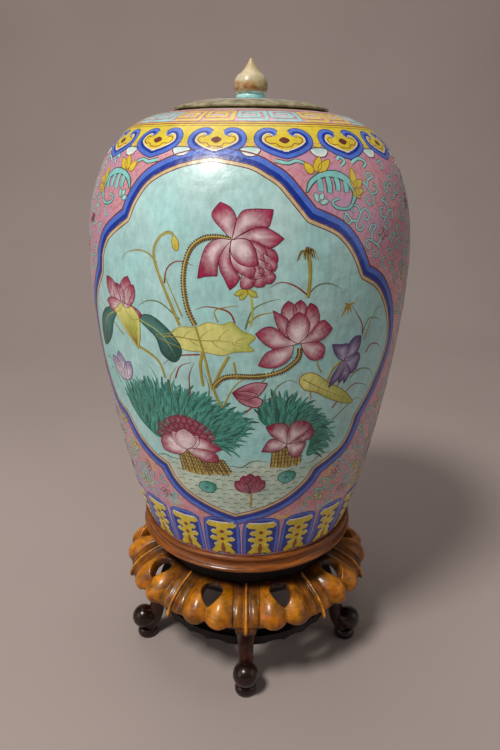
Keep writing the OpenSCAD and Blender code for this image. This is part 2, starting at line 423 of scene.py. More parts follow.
def spiny_stem(coat, line, width, layer):
    """A lotus stem: ochre with a pale side, and a row of short dark spines down both edges."""
    path = resampled_on(coat.chart, spline(line), 2.2, False)
    coat.stroke(path, width, mixed(OCHRE, INK, 0.25), layer)
    coat.stroke(path, 0.3 * width, mixed(PALE_YELLOW, OCHRE, 0.3), layer + 0.5, shift=-0.15 * width)
    for a, b in zip(path[1:], path[2:]):
        spread = coat.chart.spread(a[1])
        run, rise = (b[0] - a[0]) * spread, b[1] - a[1]
        length = math.hypot(run, rise) or 1.0
        for side in (-1, 1):
            root = 0.22 * side * width
            tip = 0.66 * side * width
            spine = [(a[0] - rise / length * d / spread, a[1] + run / length * d) for d in (root, tip)]
            coat.stroke(spine, 0.7, INK, layer + 0.9)


def grass(coat, points, layer, width=1.0, colour=OCHRE):
    """A thin blade or tendril that tapers to its end."""
    coat.stroke(spline(points), width, colour, layer, taper=0.85)


# The painted panel. Everything is drawn at the front panel, and turned half round for the back one.

PANEL_ARCS = [
    [(-12.5, 304), (0, 299.5), (6, 293.5), (10, 288), (13, 281), (18.3, 267.5)],
    [(18.3, 267.5), (26, 261), (30, 255), (34, 245), (37.5, 231.5)],
    [(37.5, 231.5), (45, 223), (52, 206), (56.5, 186), (56.5, 170), (51, 146), (44, 126)],
    [(44, 126), (43, 116), (40, 104), (34, 96), (28, 90)],
    [(28, 90), (25, 80), (18, 68), (8, 58), (-5, 50)],
    [(-5, 50), (-15, 57), (-25, 66.5), (-31, 77), (-34, 89)],
    [(-34, 89), (-40, 94), (-47, 104), (-51, 114), (-53, 120)],
    [(-53, 120), (-61, 128), (-67, 148), (-69, 172), (-66, 202), (-56.3, 227)],
    [(-56.3, 227), (-55, 240), (-51, 252), (-41.3, 264.5)],
    [(-41.3, 264.5), (-39, 276), (-34, 289), (-24, 299), (-12.5, 304)],
]


def panel_outline():
    outline = []
    for arc in PANEL_ARCS:
        outline += spline(arc, 5)[:-1]
    return outline


def water_line(az):
    return 101 + 3 * math.sin(az * 0.23) + 1.5 * math.sin(az * 0.71)


def panel_colour(az, up):
    """Turquoise sky over pale water, unevenly washed."""
    cloud = noise.noise(Vector((az * 0.06, up * 0.03, 3)))
    sky = mixed(TURQUOISE, WHITE, 0.22 + 0.16 * cloud + 0.1 * eased(up, 230, 310))
    water = mixed(CREAM, TURQUOISE, 0.25 + 0.3 * cloud)
    return mixed(water, sky, eased(up - water_line(az), -5, 2))


def paint_panel_ground(coat):
    coat.fill(panel_outline(), panel_colour, 1, grain=3.2)


def paint_panel_border(coat):
    line = panel_outline()
    coat.stroke(line, 7.0, LIGHT_BLUE, 1.8, shift=1.5, closed=True)
    coat.stroke(line, 3.0, BLUE, 2.4, shift=-0.2, closed=True)
    coat.stroke(line, 2.2, mixed(CREAM, GOLD, 0.5), 1.7, shift=-3.4, closed=True)
    for shift, width in ((5.2, 0.9), (-2.2, 0.6), (-4.7, 0.6)):
        coat.stroke(line, width, mixed(INK, RED_BROWN, 0.5), 2.5, shift=shift, closed=True)


def paint_top_lotus(coat):
    heart = (-5, 253.5)
    shapes = (
        ((-8, 273), sided([heart, (-7.5, 259), (-10.1, 264.5), (-10.8, 269), (-8.6, 275)],
                              [(-8.6, 275), (-5.5, 272), (-3.8, 266), (-4.3, 259), heart])),
        ((5.5, 272), sided([heart, (-4.4, 259), (-3.7, 264.5), (-2, 270), (1.5, 271.3), (6.8, 271)],
                               [(6.8, 271), (6.3, 266), (5.2, 261), (2, 260.6), (-1, 258.6), heart])),
        ((9.8, 254.5), sided([heart, (-1, 258), (2.3, 261), (4.6, 260.8), (7.4, 258), (9.8, 254.5)],
                                 [(9.8, 254.5), (7.5, 250.6), (5.2, 249), (3.6, 250.2), (0, 253), heart])),
        ((8, 239), sided([(0, 253), (5, 249.6), (7.2, 247.5), (8.1, 243), (7.4, 238.4)],
                             [(7.4, 238.4), (5.8, 240.5), (4, 244), (0, 253)])),
        ((5.8, 239), sided([(-2, 254), (1.8, 252.8), (4.2, 249.5), (5.2, 245), (5.4, 239.4)],
                               [(5.4, 239.4), (3.6, 240.6), (1, 240), (-1, 246), (-2, 254)])),
        ((-14, 234), sided([heart, (-8, 254.2), (-10.6, 252.6), (-12.6, 248.5), (-14, 240), (-14.8, 230.6)],
                               [(-14.8, 230.6), (-12, 232.2), (-9.1, 232.6)],
                               [(-9.1, 232.6), (-9, 238), (-8.3, 243.5), (-6.8, 249), heart])),
        ((-5.5, 226), sided([heart, (-7.3, 248), (-8.5, 242), (-8.2, 236), (-7, 231), (-5.5, 224.5)],
                                [(-5.5, 224.5), (-3.8, 227.6), (-2.5, 232)],
                                [(-2.5, 232), (-4.2, 237), (-5.4, 242), (-5.6, 248), heart])),
    )
    for number, (tip, outline) in enumerate(shapes):
        shaded(coat, outline, heart, tip, BLUSH, ROSE, 3 + 0.25 * number)
    for base, tip, width in (((2.5, 243), (5.8, 233.6), 8), ((4, 246), (7.3, 236), 7), ((0.5, 240), (3.4, 231.6), 9),
                             ((4.2, 238), (6.4, 228.6), 8), ((1.5, 236), (4, 226.6), 9), ((-2, 235), (0.6, 225.8), 10)):
        petal(coat, base, tip, width, 4.9, full=1.7, veins=1)
    shell = sided([(-5.2, 246), (-5, 241), (-3.4, 235.6), (0.6, 231)], [(0.6, 231), (1.6, 234), (1.2, 239), (-5.2, 246)])
    shaded(coat, shell, (-5, 246), (0.8, 230), BLUSH, ROSE, 5.3)
    cup = sided([heart, (-2.5, 254.4), (-0.2, 253.4), (1.5, 249), (2.1, 244), (2.2, 239)],
                [(2.2, 239), (-0.5, 238.6), (-3, 240.4), (-4.9, 245), (-5.3, 249.5), heart])
    shaded(coat, cup, (-5, 252), (2.4, 238), BLUSH, ROSE, 5.7, line_width=0.8)


def paint_right_lotus(coat):
    heart = (15.3, 190)
    for base, tip, width in (((12.6, 196), (11.4, 217.6), 10), ((15, 200), (15.1, 217.8), 9)):
        petal(coat, base, tip, width, 3, full=1.6, veins=1)
    shapes = (
        ((18.5, 215), sided([(16.5, 194), (16.6, 204), (16.8, 210), (18.2, 215.6)],
                                [(18.2, 215.6), (20.4, 212.5), (21.4, 205), (20, 197), (16.5, 194)])),
        ((7.2, 211.5), sided([(13, 193), (10, 197), (8.2, 203), (7, 212)],
                                 [(7, 212), (9.4, 209), (11.4, 206), (12.6, 199), (13, 193)])),
        ((2, 196.8), sided([heart, (11.4, 194), (9.2, 198.6), (6.8, 201.4), (4.4, 200.8), (2, 197)],
                               [(2, 197), (3.4, 193.4), (5.4, 189.6), (8, 187), (11, 188), heart])),
        ((25.5, 199), sided([heart, (18.4, 195.5), (20.6, 201.4), (22.8, 204), (24.6, 201.6), (26.2, 198)],
                                [(26.2, 198), (24.4, 193.2), (22, 190.6), (19, 189.8), heart])),
        ((3, 176), sided([(13.6, 189), (10.6, 188), (7.4, 186.6), (5, 183.6), (3, 176)],
                             [(3, 176), (6, 174.4), (9, 174.8), (11.8, 178), (13.3, 183), (13.6, 189)])),
        ((24, 179), sided([(16, 189.6), (19, 190.2), (22.4, 189.2), (24.2, 185), (23.8, 178.4)],
                              [(23.8, 178.4), (20.8, 177.6), (18.6, 180), (17, 184.6), (16, 189.6)])),
        ((14.8, 211), sided([(14.9, 190), (12.4, 193.5), (11, 199.5), (12.3, 206), (14.8, 210.4)],
                                [(14.8, 210.4), (17.3, 206.6), (18.5, 201), (17.4, 194), (14.9, 190)])),
    )
    for number, (tip, outline) in enumerate(shapes):
        shaded(coat, outline, heart, tip, BLUSH, ROSE, 3.3 + 0.25 * number)


def paint_left_rose(coat):
    heart = (-43.5, 203)
    for tip, width in (((-51.8, 224), 12), ((-46, 221), 13), ((-40, 227), 12), ((-37.5, 222), 10)):
        petal(coat, heart, tip, width, 3, root=BLUSH, full=1.35)
    for tip, width, bend in (((-53, 207), 10, 2), ((-34.8, 202.5), 9, -2)):
        petal(coat, (-43, 208), tip, width, 3.5, full=1.1, bend=bend)
    calyx = sided([(-38, 179), (-42, 187), (-46, 195), (-48.5, 203)], [(-48.5, 203), (-46.6, 205), (-44.5, 208.5)],
                  [(-44.5, 208.5), (-42, 205.6), (-39, 207.5)], [(-39, 207.5), (-36.2, 201), (-36.6, 188), (-38, 179)])
    shaded(coat, calyx, (-38, 180), (-43, 207), LEAF_GREEN, PALE_YELLOW, 3.8, line=OCHRE)
    for k in range(9):
        tip = (-47.5 + 1.25 * k, 199 + 5 * math.sin(math.pi * (k + 1) / 10))
        grass(coat, [(-38.2, 181), (0.5 * (tip[0] - 38.4), 191), tip], 4.6, 0.8, mixed(OCHRE, INK, 0.2))


def paint_purple_flower(coat):
    heart = (32, 174.5)
    violet = mixed(PURPLE, INK, 0.2)
    shapes = (
        ((38, 190), sided([heart, (33, 182), (34, 187), (36, 189.8), (38.4, 189.4)],
                          [(38.4, 189.4), (38.6, 184), (37.6, 178), (35, 173.4), heart])),
        ((39, 166), sided([heart, (35, 176.8), (38.2, 177.6), (39.4, 173.4), (38.9, 169.4), (38.4, 165.6)],
                          [(38.4, 165.6), (36, 164), (34, 165.4), (32.6, 169.6), heart])),
        ((33.6, 157), sided([heart, (31.6, 165), (31, 158.6)], [(31, 158.6), (33, 160), (33.6, 157)],
                            [(33.6, 157), (35.4, 162), (35.4, 167), heart])),
        ((27.4, 156), sided([heart, (29.5, 168.4), (28, 163), (27.2, 156.2)],
                            [(27.2, 156.2), (29.4, 159), (31.4, 162), (32.6, 168), heart])),
        ((26.6, 187), sided([heart, (33.2, 180), (33, 185.4), (30, 186), (26.8, 187)],
                            [(26.8, 187), (28, 181), (29.8, 176.6), heart])),
    )
    for number, (tip, outline) in enumerate(shapes):
        root = mixed(LAVENDER, PURPLE, 0.2)
        shaded(coat, outline, heart, tip, root, violet, 3 + 0.25 * number, line=violet)


def paint_buds(coat):
    dark = mixed(ROSE, WINE, 0.3)
    pale = mixed(ROSE, BLUSH, 0.4)
    for outline in (
        sided([(-5, 156.5), (-2, 161), (2, 164), (6, 163.4)], [(6, 163.4), (4.6, 158), (1.6, 153), (-5, 156.5)]),
        sided([(-5, 156.5), (-3, 151), (-0.5, 147.5), (3, 146)], [(3, 146), (4.4, 148.5), (3.6, 153), (-5, 156.5)]),
        sided([(-5, 156.5), (-1, 158), (3, 156)], [(3, 156), (0.5, 152), (-2.6, 152.6), (-5, 156.5)]),
    ):
        shaded(coat, outline, (-5, 156.5), (6, 156), dark, pale, 3.4, line_width=0.8)
    for tip, width in (((-55.5, 166), 11), ((-50, 172), 12), ((-43.5, 167), 10)):
        petal(coat, (-48, 151), tip, width, 3, root=mixed(BLUSH, WHITE, 0.5), edge=mixed(PURPLE, LAVENDER, 0.35),
              line=PURPLE)


def paint_low_lotuses(coat):
    """The two full red flowers that stand on the water's edge, and the small one in front."""
    crimson = mixed(ROSE, WINE, 0.45)
    heart = (-22.5, 109)
    crown = sided([(-24, 110), (-31, 117), (-34.8, 125.6)], [(-34.8, 125.6), (-31.6, 127), (-29, 131.6), (-24.5, 135.6),
                  (-20.6, 135.4), (-16.8, 131), (-14.4, 124), (-13.2, 119), (-9.4, 114.6)],
                  [(-9.4, 114.6), (-14, 110.6), (-24, 110)])
    shaded(coat, crown, heart, (-23, 132), mixed(ROSE, BLUSH, 0.3), crimson, 3)
    for row, (reach_out, count) in enumerate(((24, 12), (19.5, 10), (15, 8))):
        for k in range(count):
            turn = math.radians(22 + 136 * (k + 0.5 * (row % 2)) / count)
            base, tip = (
                (heart[0] - 0.5 * r * math.cos(turn), heart[1] + r * math.sin(turn)) for r in (reach_out - 5, reach_out + 2.5)
            )
            petal(coat, base, tip, 5.5, 3.3 + 0.2 * row, root=mixed(ROSE, BLUSH, 0.4), edge=crimson, full=1.5, veins=0)
    for number, (tip, outline) in enumerate((
        ((-34, 104), sided([heart, (-26, 118), (-30, 118.4), (-33, 114.6), (-33.8, 109), (-32.8, 103.6)],
                           [(-32.8, 103.6), (-28.4, 102.6), (-24.6, 104.4), heart])),
        ((-10, 112.5), sided([heart, (-20, 119), (-15.6, 119.6), (-12.4, 116), (-9, 112.6)],
                             [(-9, 112.6), (-13, 108.6), (-18, 107), heart])),
        ((-11, 102), sided([heart, (-18.4, 111), (-14, 110.6), (-11, 107), (-10.6, 101.6)],
                           [(-10.6, 101.6), (-15.4, 101), (-19.4, 104.2), heart])),
    )):
        shaded(coat, outline, heart, tip, BLUSH, ROSE, 4.1 + 0.4 * number)
    for tip, width, layer in (((-28, 121.5), 9, 4.5), ((-17.4, 121.5), 9, 4.5), ((-22.8, 125.5), 16, 5.5)):
        petal(coat, heart, tip, width, layer, edge=mixed(ROSE, BLUSH, 0.5), full=1.0, veins=1)

    heart = (14, 116)
    shapes = (
        ((7, 131), sided([heart, (10, 121), (7.8, 125), (6.1, 131)], [(6.1, 131), (9.4, 133.4), (13, 132.4), (14, 128)],
                         [(14, 128), (14.6, 122), heart])),
        ((20, 133), sided([heart, (13.8, 123), (14, 128), (15.6, 133.2), (19.8, 133.4), (22.8, 128.6)],
                          [(22.8, 128.6), (20.6, 123), (17.5, 119), heart])),
        ((24, 124), sided([heart, (18.6, 121.4), (22.6, 127), (24, 122.6), (22.8, 118)], [(22.8, 118), (18, 116.2), heart])),
        ((5, 111), sided([heart, (9.6, 121), (7.2, 119.8), (5, 111.4)], [(5, 111.4), (9, 110.8), (12, 112.4), heart])),
        ((19, 104), sided([heart, (18, 117), (21, 116), (20.6, 110.6), (18.8, 104.2)], [(18.8, 104.2), (15.4, 107), heart])),
    )
    for number, (tip, outline) in enumerate(shapes):
        shaded(coat, outline, heart, tip, BLUSH, crimson, 3.2 + 0.25 * number)
    for tip, width in (((-4.5, 86), 9), ((6.6, 86.5), 9), ((-1.6, 91), 9), ((4.2, 91), 9), ((1.2, 93), 9)):
        petal(coat, (1, 75.5), tip, width, 3.4, root=mixed(ROSE, BLUSH, 0.4), edge=crimson, full=1.25, veins=1)


def reed_field(coat, mass, lean, seed):
    """Reed blades brushed in rows inside an outline, from the top row down. Lean gives their direction by place."""
    spread = coat.chart.spread(130)
    rows = grid_inside([(az * spread, up) for az, up in mass], 2.3)
    rows.sort(key=lambda place: -place[1])
    for number, (x, up) in enumerate(rows):
        az = x / spread
        stray = noise.noise(Vector((x * 0.37, up * 0.41, seed)))
        turn = math.radians(lean(az, up) + 55 * stray)
        length = 8.5 * (1 + 0.6 * noise.noise(Vector((up * 0.9, x * 0.7, seed))))
        bend = 0.12 * length * math.cos(turn)
        middle = (az + 0.5 * length * math.cos(turn) / spread, up + 0.5 * length * math.sin(turn) + abs(bend))
        tip = (az + length * math.cos(turn) / spread, up + length * math.sin(turn))
        colour = mixed(DEEP_GREEN, mixed(GREEN, TURQUOISE, 0.28), (0.1, 0.8, 0.35, 1.0, 0.6)[number % 5])
        coat.stroke([(az, up), middle, tip], 1.6, colour, 2.5 + 1.2 * number / len(rows), taper=-1, grain=3)


def paint_reeds(coat):
    left = ring([(-49, 138), (-45, 146), (-40, 150), (-35, 152), (-28, 154), (-22, 152), (-15, 150), (-9, 144),
                 (-3, 138), (0, 130), (-3, 122), (-6, 114), (-12, 112), (-20, 124), (-33, 113), (-41, 119), (-46, 128)])
    right = ring([(4, 146), (8, 150), (14, 150), (19, 144), (24, 136), (29, 124), (30, 114), (26, 106), (22, 105),
                  (22, 122), (10, 128), (4, 136)])
    for mass in (left, right):
        coat.fill(mass, mixed(GREEN, DEEP_GREEN, 0.25), 2.0)
    reed_field(coat, left, lambda az, up: 112 - 88 * eased(az, -46, 2) - 60 * eased(124 - up, 0, 12), 1)
    reed_field(coat, right, lambda az, up: 104 - 130 * eased(az, 6, 30), 2)


def paint_woven_roots(coat):
    """The ochre roots under the two full flowers, hatched like basketwork."""
    for top_west, top_east, low_west, low_east, low, high in ((-26.5, -17, -25.5, -13, 90, 108), (-18, -9, -15, -6, 92, 104),
                                                              (9, 19.5, 8.5, 20, 98, 116)):
        patch = [(top_west, high), (top_east, high), (low_east, low), (0.5 * (low_west + low_east), low - 1.5), (low_west, low)]
        coat.fill(patch, lambda az, up: mixed(OCHRE, PALE_YELLOW, 0.3 + 0.3 * math.sin(az * 2.1 + up * 0.3)), 2.3)
        lines = 9
        for k in range(lines + 1):
            share = k / lines
            west = (top_west + (top_east - top_west) * share, high)
            east = (low_west + (low_east - low_west) * share, low + 1.5 * math.sin(3 * k))
            coat.stroke([west, east], 0.8, mixed(INK, OCHRE, 0.2 + 0.3 * (k % 2)), 3, grain=4)
            for step in range(1, 6):
                az = west[0] + (east[0] - west[0]) * step / 6
                up = high + (low - high) * step / 6
                coat.stroke([(az, up), (az + 0.7, up + 1.2)], 0.7, INK, 3.3, taper=0.3)


def paint_yellow_leaves(coat):
    leaf = ring([(-30, 191), (-25, 194), (-21, 199), (-16, 200), (-12, 203.5), (-8, 202.5), (-5, 204.5), (-2, 199),
                 (2, 195), (0, 190), (1.5, 186), (-4, 185), (-8, 182.5), (-14, 184), (-19, 184), (-23, 186.5)])
    shaded(coat, leaf, (-9, 193), (3, 193), PALE_YELLOW, LEAF_GREEN, 2.6, line=mixed(OCHRE, LEAF_GREEN, 0.4))
    midrib = [(-27, 191.4), (-22, 192.4), (-15, 191.4), (-8, 192), (-2, 190.5)]
    grass(coat, midrib, 3.6, 0.9, mixed(OCHRE, LEAF_GREEN, 0.25))
    for base, tip in (((-25, 192), (-21.5, 197)), ((-20, 192), (-16, 199)), ((-15, 191.5), (-10, 200.5)),
                      ((-9, 192), (-5, 201)), ((-4, 191), (0, 195)), ((-24, 191.5), (-20, 187)),
                      ((-18, 191.5), (-13, 186)), ((-11, 191.5), (-6, 185)), ((-5, 191), (-0.5, 187.5))):
        middle = (0.5 * (base[0] + tip[0]) - 0.8, 0.5 * (base[1] + tip[1]))
        grass(coat, [base, middle, tip], 3.4, 0.7, mixed(OCHRE, LEAF_GREEN, 0.45))
    right = ring([(16.5, 165), (19, 169), (22.5, 167), (27, 160), (33, 153), (37, 146), (39.5, 140), (34.5, 142),
                  (28, 148), (23, 154), (18, 158)])
    shaded(coat, right, (17, 166), (38, 142), PALE_YELLOW, LEAF_GREEN, 3, line=OCHRE, line_width=0.8)
    grass(coat, [(17.5, 165), (25, 156), (38, 142)], 3.6, 0.9, OCHRE)
    for t in range(5):
        az, up = 20 + 3.4 * t, 162 - 4.2 * t
        grass(coat, [(az, up), (az + 1.5, up + 3.5)], 3.5, 0.6, OCHRE)
        grass(coat, [(az, up), (az + 0.5, up - 4)], 3.5, 0.6, OCHRE)


def paint_green_leaves(coat):
    """The rose's two leaves, and the lily pads on the water."""
    left = ring([(-47, 203), (-52, 202.5), (-57, 198), (-61, 188), (-62, 172), (-57, 175), (-53, 183), (-50.5, 193)])
    right = ring([(-36, 200), (-33, 204), (-29, 202), (-24, 194), (-21, 184), (-23.5, 175), (-28, 179), (-30, 190)])
    teal = mixed(DEEP_GREEN, TURQUOISE, 0.22)
    shaded(coat, left, (-47, 203), (-62, 172), teal, DEEP_GREEN, 2.8, line=DEEP_GREEN, line_width=0.9)
    shaded(coat, right, (-36, 200), (-22, 176), teal, DEEP_GREEN, 2.8, line=DEEP_GREEN, line_width=0.9)
    grass(coat, [(-47, 202), (-55, 194), (-61, 175)], 3.6, 0.8, LEAF_GREEN)
    grass(coat, [(-36, 200), (-28, 193), (-23, 178)], 3.6, 0.8, LEAF_GREEN)
    for az, up in ((-16, 78), (15, 88)):
        pad = coat.moved(ring([(-6, 0), (-4, 4), (1, 5.5), (6, 3.5), (6.5, -1), (2, -4.5), (-3, -4)]), az, up)
        shaded(coat, pad, (az, up), (az + 3, up + 5), mixed(GREEN, TURQUOISE, 0.5), GREEN, 2.6, line=DEEP_GREEN)
        for k in range(7):
            rib = [(0, 0), (4.6 * math.cos(k * 0.9), 3.6 * math.sin(k * 0.9))]
            coat.stroke(coat.moved(rib, az, up), 0.5, DEEP_GREEN, 3.2, taper=0.5)


def paint_stems(coat):
    spiny_stem(coat, [(-5, 253.5), (-9, 255), (-13, 254), (-16.5, 249), (-18.5, 240), (-19.2, 230), (-19, 220),
                      (-18, 210), (-16, 201)], 2.9, 3)
    spiny_stem(coat, [(15.8, 187), (15.5, 180), (12.5, 174), (9, 170.5), (3, 168.3), (-4, 168.3), (-8, 166.5),
                      (-11, 160)], 2.9, 3)
    for line, width in (
        ([(-38, 181), (-33, 177.5), (-29.5, 172), (-28, 162)], 1.8),
        ([(-14, 184), (-15, 174), (-14.5, 160)], 2.2),
        ([(-16, 200), (-13.5, 180), (-11.5, 158)], 1.8),
        ([(-6, 182), (-9.5, 168), (-11, 158), (-8.5, 145)], 2.0),
        ([(-4.5, 178), (-3.5, 166)], 1.4),
        ([(32, 175), (28, 169), (26, 158)], 1.8),
        ([(-21, 200), (-24, 215), (-28, 235), (-29, 245), (-27.5, 252), (-25, 256), (-22.8, 255.5), (-22.3, 250)], 2.0),
        ([(17, 246), (17.7, 235), (17.3, 219)], 2.6),
        ([(1, 78), (1.6, 70), (1.2, 62)], 1.5),
    ):
        coat.stroke(spline(line), width, mixed(OCHRE, LEAF_GREEN, 0.5), 3, taper=0.3)
        coat.stroke(spline(line), 0.5, OCHRE, 3.4, shift=0.4 * width)
    bud = coat.moved(ring([(0, 0), (-2.2, 4), (-1.2, 8.5), (1.2, 8.5), (2.2, 4)]), -22.4, 255, turn=195)
    shaded(coat, bud, (-22.4, 255), (-21.5, 246), LEAF_GREEN, YELLOW, 3.4, line=OCHRE)
    for k in range(11):
        turn = math.radians(5 + 17 * k)
        out = 3.4 + 1.3 * ((3 * k) % 4)
        hair = [(1, -1), (0.6 * out * math.cos(turn), 3.4 * math.sin(turn)), (out * math.cos(turn), -1 - 0.5 * out)]
        colour = (mixed(OCHRE, INK, 0.85), mixed(OCHRE, YELLOW, 0.3), INK)[k % 3]
        coat.stroke(spline(coat.moved(hair, 17, 246), 4), 0.9, colour, 3.4 + 0.1 * (k % 3), taper=0.5)


def paint_grasses(coat):
    """The thin arching blades and the little star flowers between the lotuses."""
    blades = (
        [(-28, 238), (-31, 243), (-35, 244.5), (-40, 242), (-42.5, 237)],
        [(-25.5, 226), (-24.5, 235), (-21, 240), (-16, 238)],
        [(-21, 204), (-27, 213), (-32, 213.5), (-36, 209)],
        [(-20, 206), (-23, 220), (-26, 234)],
        [(17, 221), (13, 227), (9, 229), (6, 226)],
        [(17, 220), (20, 226), (24, 227), (28.5, 223)],
        [(-9, 204), (-10, 211), (-7, 213.5), (-3, 215)],
        [(-4, 204), (-6, 211), (-12, 213.5), (-16, 211)],
        [(-1, 200), (1, 212), (5, 217), (9, 219)],
        [(0, 204), (3, 209), (8, 211)],
        [(39, 190), (38, 198), (35, 206), (33, 211)],
        [(39, 192), (41, 200), (45, 199.5), (48, 196)],
        [(40, 186), (44, 205), (48, 207)],
        [(42, 176), (44, 181), (48, 180), (51, 175)],
        [(36, 160), (40, 165), (46, 162), (49, 156)],
        [(24, 168), (22, 176), (24, 182)],
        [(28, 150), (34, 162), (41, 164)],
        [(-52, 146), (-57, 156), (-60, 152)],
        [(-50, 150), (-58, 163), (-63, 160)],
        [(-24, 163), (-22, 172), (-18, 176)],
        [(-3, 150), (6, 168), (10, 178), (16, 182)],
        [(21, 150), (20, 160), (16, 172)],
        [(30, 140), (38, 154), (46, 150)],
        [(31, 130), (40, 142), (45, 139)],
        [(-45, 186), (-52, 196), (-58, 206)],
        [(-15, 182), (-23, 179), (-28, 172)],
        [(-31, 150), (-32, 162), (-35, 170)],
        [(-26, 152), (-26, 163), (-23, 172)],
        [(-19, 152), (-19, 166), (-17, 176)],
        [(-13, 150), (-12.5, 160), (-14, 170)],
        [(-8, 146), (-4, 162), (2, 170), (6, 170)],
        [(-1, 142), (4, 150), (9, 153)],
        [(8, 150), (9, 160), (13, 165), (16, 162)],
    )
    for number, blade in enumerate(blades):
        colour = (mixed(OCHRE, LEAF_GREEN, 0.3), RED_BROWN, mixed(GREEN, OCHRE, 0.5))[number % 3]
        grass(coat, blade, 2.6, 1.1, colour)
    for k, length in enumerate((6, 3.5, 5, 3, 6.5, 4, 3.5)):
        turn = math.radians(35 + 47 * k)
        ray = [(0, 0), (0.6 * length * math.cos(turn), 0.5 * length * math.sin(turn)),
               (length * math.cos(turn), length * math.sin(turn) - 1.5)]
        coat.stroke(spline(coat.moved(ray, 31.5, 211), 4), 1.5, mixed(OCHRE, YELLOW, 0.2), 3.2, taper=0.6)
    for tip in ((-4.2, 221.5), (-2.6, 218.5), (2.4, 220.5)):
        petal(coat, (-0.4, 224.5), tip, 3.4, 3.2, root=YELLOW, edge=LEAF_GREEN, line=OCHRE, veins=0)
    coat.stroke(spline([(-0.4, 224), (0.8, 218), (1, 208), (0.6, 202)]), 1.6, LEAF_GREEN, 3, taper=0.4)


def paint_water(coat):
    """Short broken ripples on the pale water, and the shore line above it."""
    outline = panel_outline()
    for row in range(12):
        up = 57 + 4.1 * row
        for k in range(16):
            az = -36 + 4.6 * k + 2.3 * (row % 2) + 1.5 * noise.noise(Vector((row, k, 1)))
            if up > water_line(az) - 3 or not inside(outline, (az * 1.15, up - 4)):
                continue
            ripple = [(az - 1.3, up), (az, up + 0.8), (az + 1.5, up - 0.3)]
            coat.stroke(spline(ripple, 3), 0.6, mixed(GREEN, INK, 0.4), 2, taper=0.8)
    for west, east in ((-37, -28), (-8, 7), (22, 33)):
        shore = [(west + (east - west) * k / 5, water_line(west + (east - west) * k / 5)) for k in range(6)]
        coat.stroke(spline(shore, 3), 1.0, mixed(OCHRE, GREEN, 0.5), 2.2, taper=-1)


# The bands and the ground between the panels


def mirrored(points, middle=0.0):
    return [(2 * middle - az, up) for az, up in points]


def paint_ruyi_head(coat, middle):
    """One cloud-shaped head of the shoulder band, drawn from its right half."""
    half = [(-0.5, 303.4), (3.2, 305.4), (6.6, 308.4), (8.9, 312.2), (9.0, 317), (7.2, 320.8), (4.6, 321.6), (2.9, 319.6)]
    trefoil = [(0, 307.2), (2.6, 308.4), (5.2, 310.2), (7.2, 312.6), (7.0, 316.4), (4.6, 317.4), (1.6, 319.5)]
    both = [(middle + az, up) for az, up in trefoil]
    body = spline(both, 4)
    coat.fill(body + mirrored(body, middle)[-2:0:-1], YELLOW, 2)
    for side in (-1, 1):
        arm = spline([(middle + side * az, up) for az, up in half], 5)
        coat.stroke(arm, 4.8, LIGHT_BLUE, 2.4)
        curl = coat.moved(ring([(-2.7, 0), (0, 2.7), (2.7, 0), (0, -2.7)]), middle + side * 3.9, 319.6)
        coat.fill(curl, LIGHT_BLUE, 2.35)
        coat.stroke(arm, 1.9, BLUE, 3.1, shift=side * 1.2)
        coat.stroke(arm, 0.9, mixed(WHITE, YELLOW, 0.4), 2.9, shift=side * 2.6)
        coat.stroke(arm, 0.5, mixed(BLUE, INK, 0.3), 2.9, shift=-side * 2.5)
        lobe = [(0, 308.9), (2.1, 309.5), (3.2, 311.5), (5.2, 311.4), (6.8, 313.9), (6.0, 316.5), (4.2, 316.6)]
        coat.stroke(spline([(middle + side * az, up) for az, up in lobe], 4), 0.6, RED_BROWN, 2.8)
    coat.fill(coat.moved(ring([(-3.3, 0), (0, 2.4), (3.3, 0), (0, -2.4)]), middle, 314), mixed(INK, RED_BROWN, 0.35), 3)


def paint_ruyi_band(coat):
    coat.hoop(328, 4.4, YELLOW, 1.15)
    for k in range(15):
        middle = 12 + 24 * k
        scallop = [(middle - 12, 311.5), (middle - 10, 312), (middle, 306), (middle + 10, 312), (middle + 12, 311.5)]
        top = [(middle + 12 - 4 * i, 326) for i in range(7)]
        coat.fill(spline(scallop, 3) + top, YELLOW, 1.2)
        gap = middle + 12
        coat.fill([(gap - 2, 311.5), (gap + 2, 311.5), (gap, 308)], YELLOW, 1.8)
        lobe = coat.moved(ring([(-6, 1), (-3, -3.5), (3, -3.5), (6, 1), (0, 2.5)]), gap, 306.5)
        shaded(coat, lobe, (gap, 309), (gap, 303), TURQUOISE, WHITE, 1.6, line=INK)
        paint_ruyi_head(coat, middle)
    coat.hoop(328.6, 0.9, RED_BROWN, 2.2)
    coat.hoop(326.4, 0.5, OCHRE, 2.2)


def square_spiral(west, east, low, high, turns, gap_az, gap_up):
    """The corner points of a squared spiral that winds inwards."""
    points = [(west, low)]
    for _ in range(turns):
        points += [(east, low), (east, high), (west, high), (west, low + gap_up)]
        west, east = west + gap_az, east - gap_az
        low, high = low + gap_up, high - gap_up
        points.append((west, low))
    return points[:-1]


def paint_fret_band(coat):
    """Squared scrolls round the neck, in turn yellow and turquoise, lined with rose."""
    coat.hoop(340, 19, mixed(LILAC, WHITE, 0.45), 1)
    for k in range(24):
        middle = 15 * k + 1
        colour = mixed(YELLOW, WHITE, 0.12) if k % 4 > 1 else mixed(TURQUOISE, WHITE, 0.1)
        spiral = square_spiral(middle - 6.1, middle + 6.1, 333, 347, 2, 3.2, 3.9)
        coat.stroke(spiral, 3.3, mixed(RED_BROWN, PINK, 0.55), 1.5)
        coat.stroke(spiral, 2.5, colour, 2)
    for up in (331, 349.5):
        coat.hoop(up, 1.2, mixed(RED_BROWN, PINK, 0.5), 2.4)


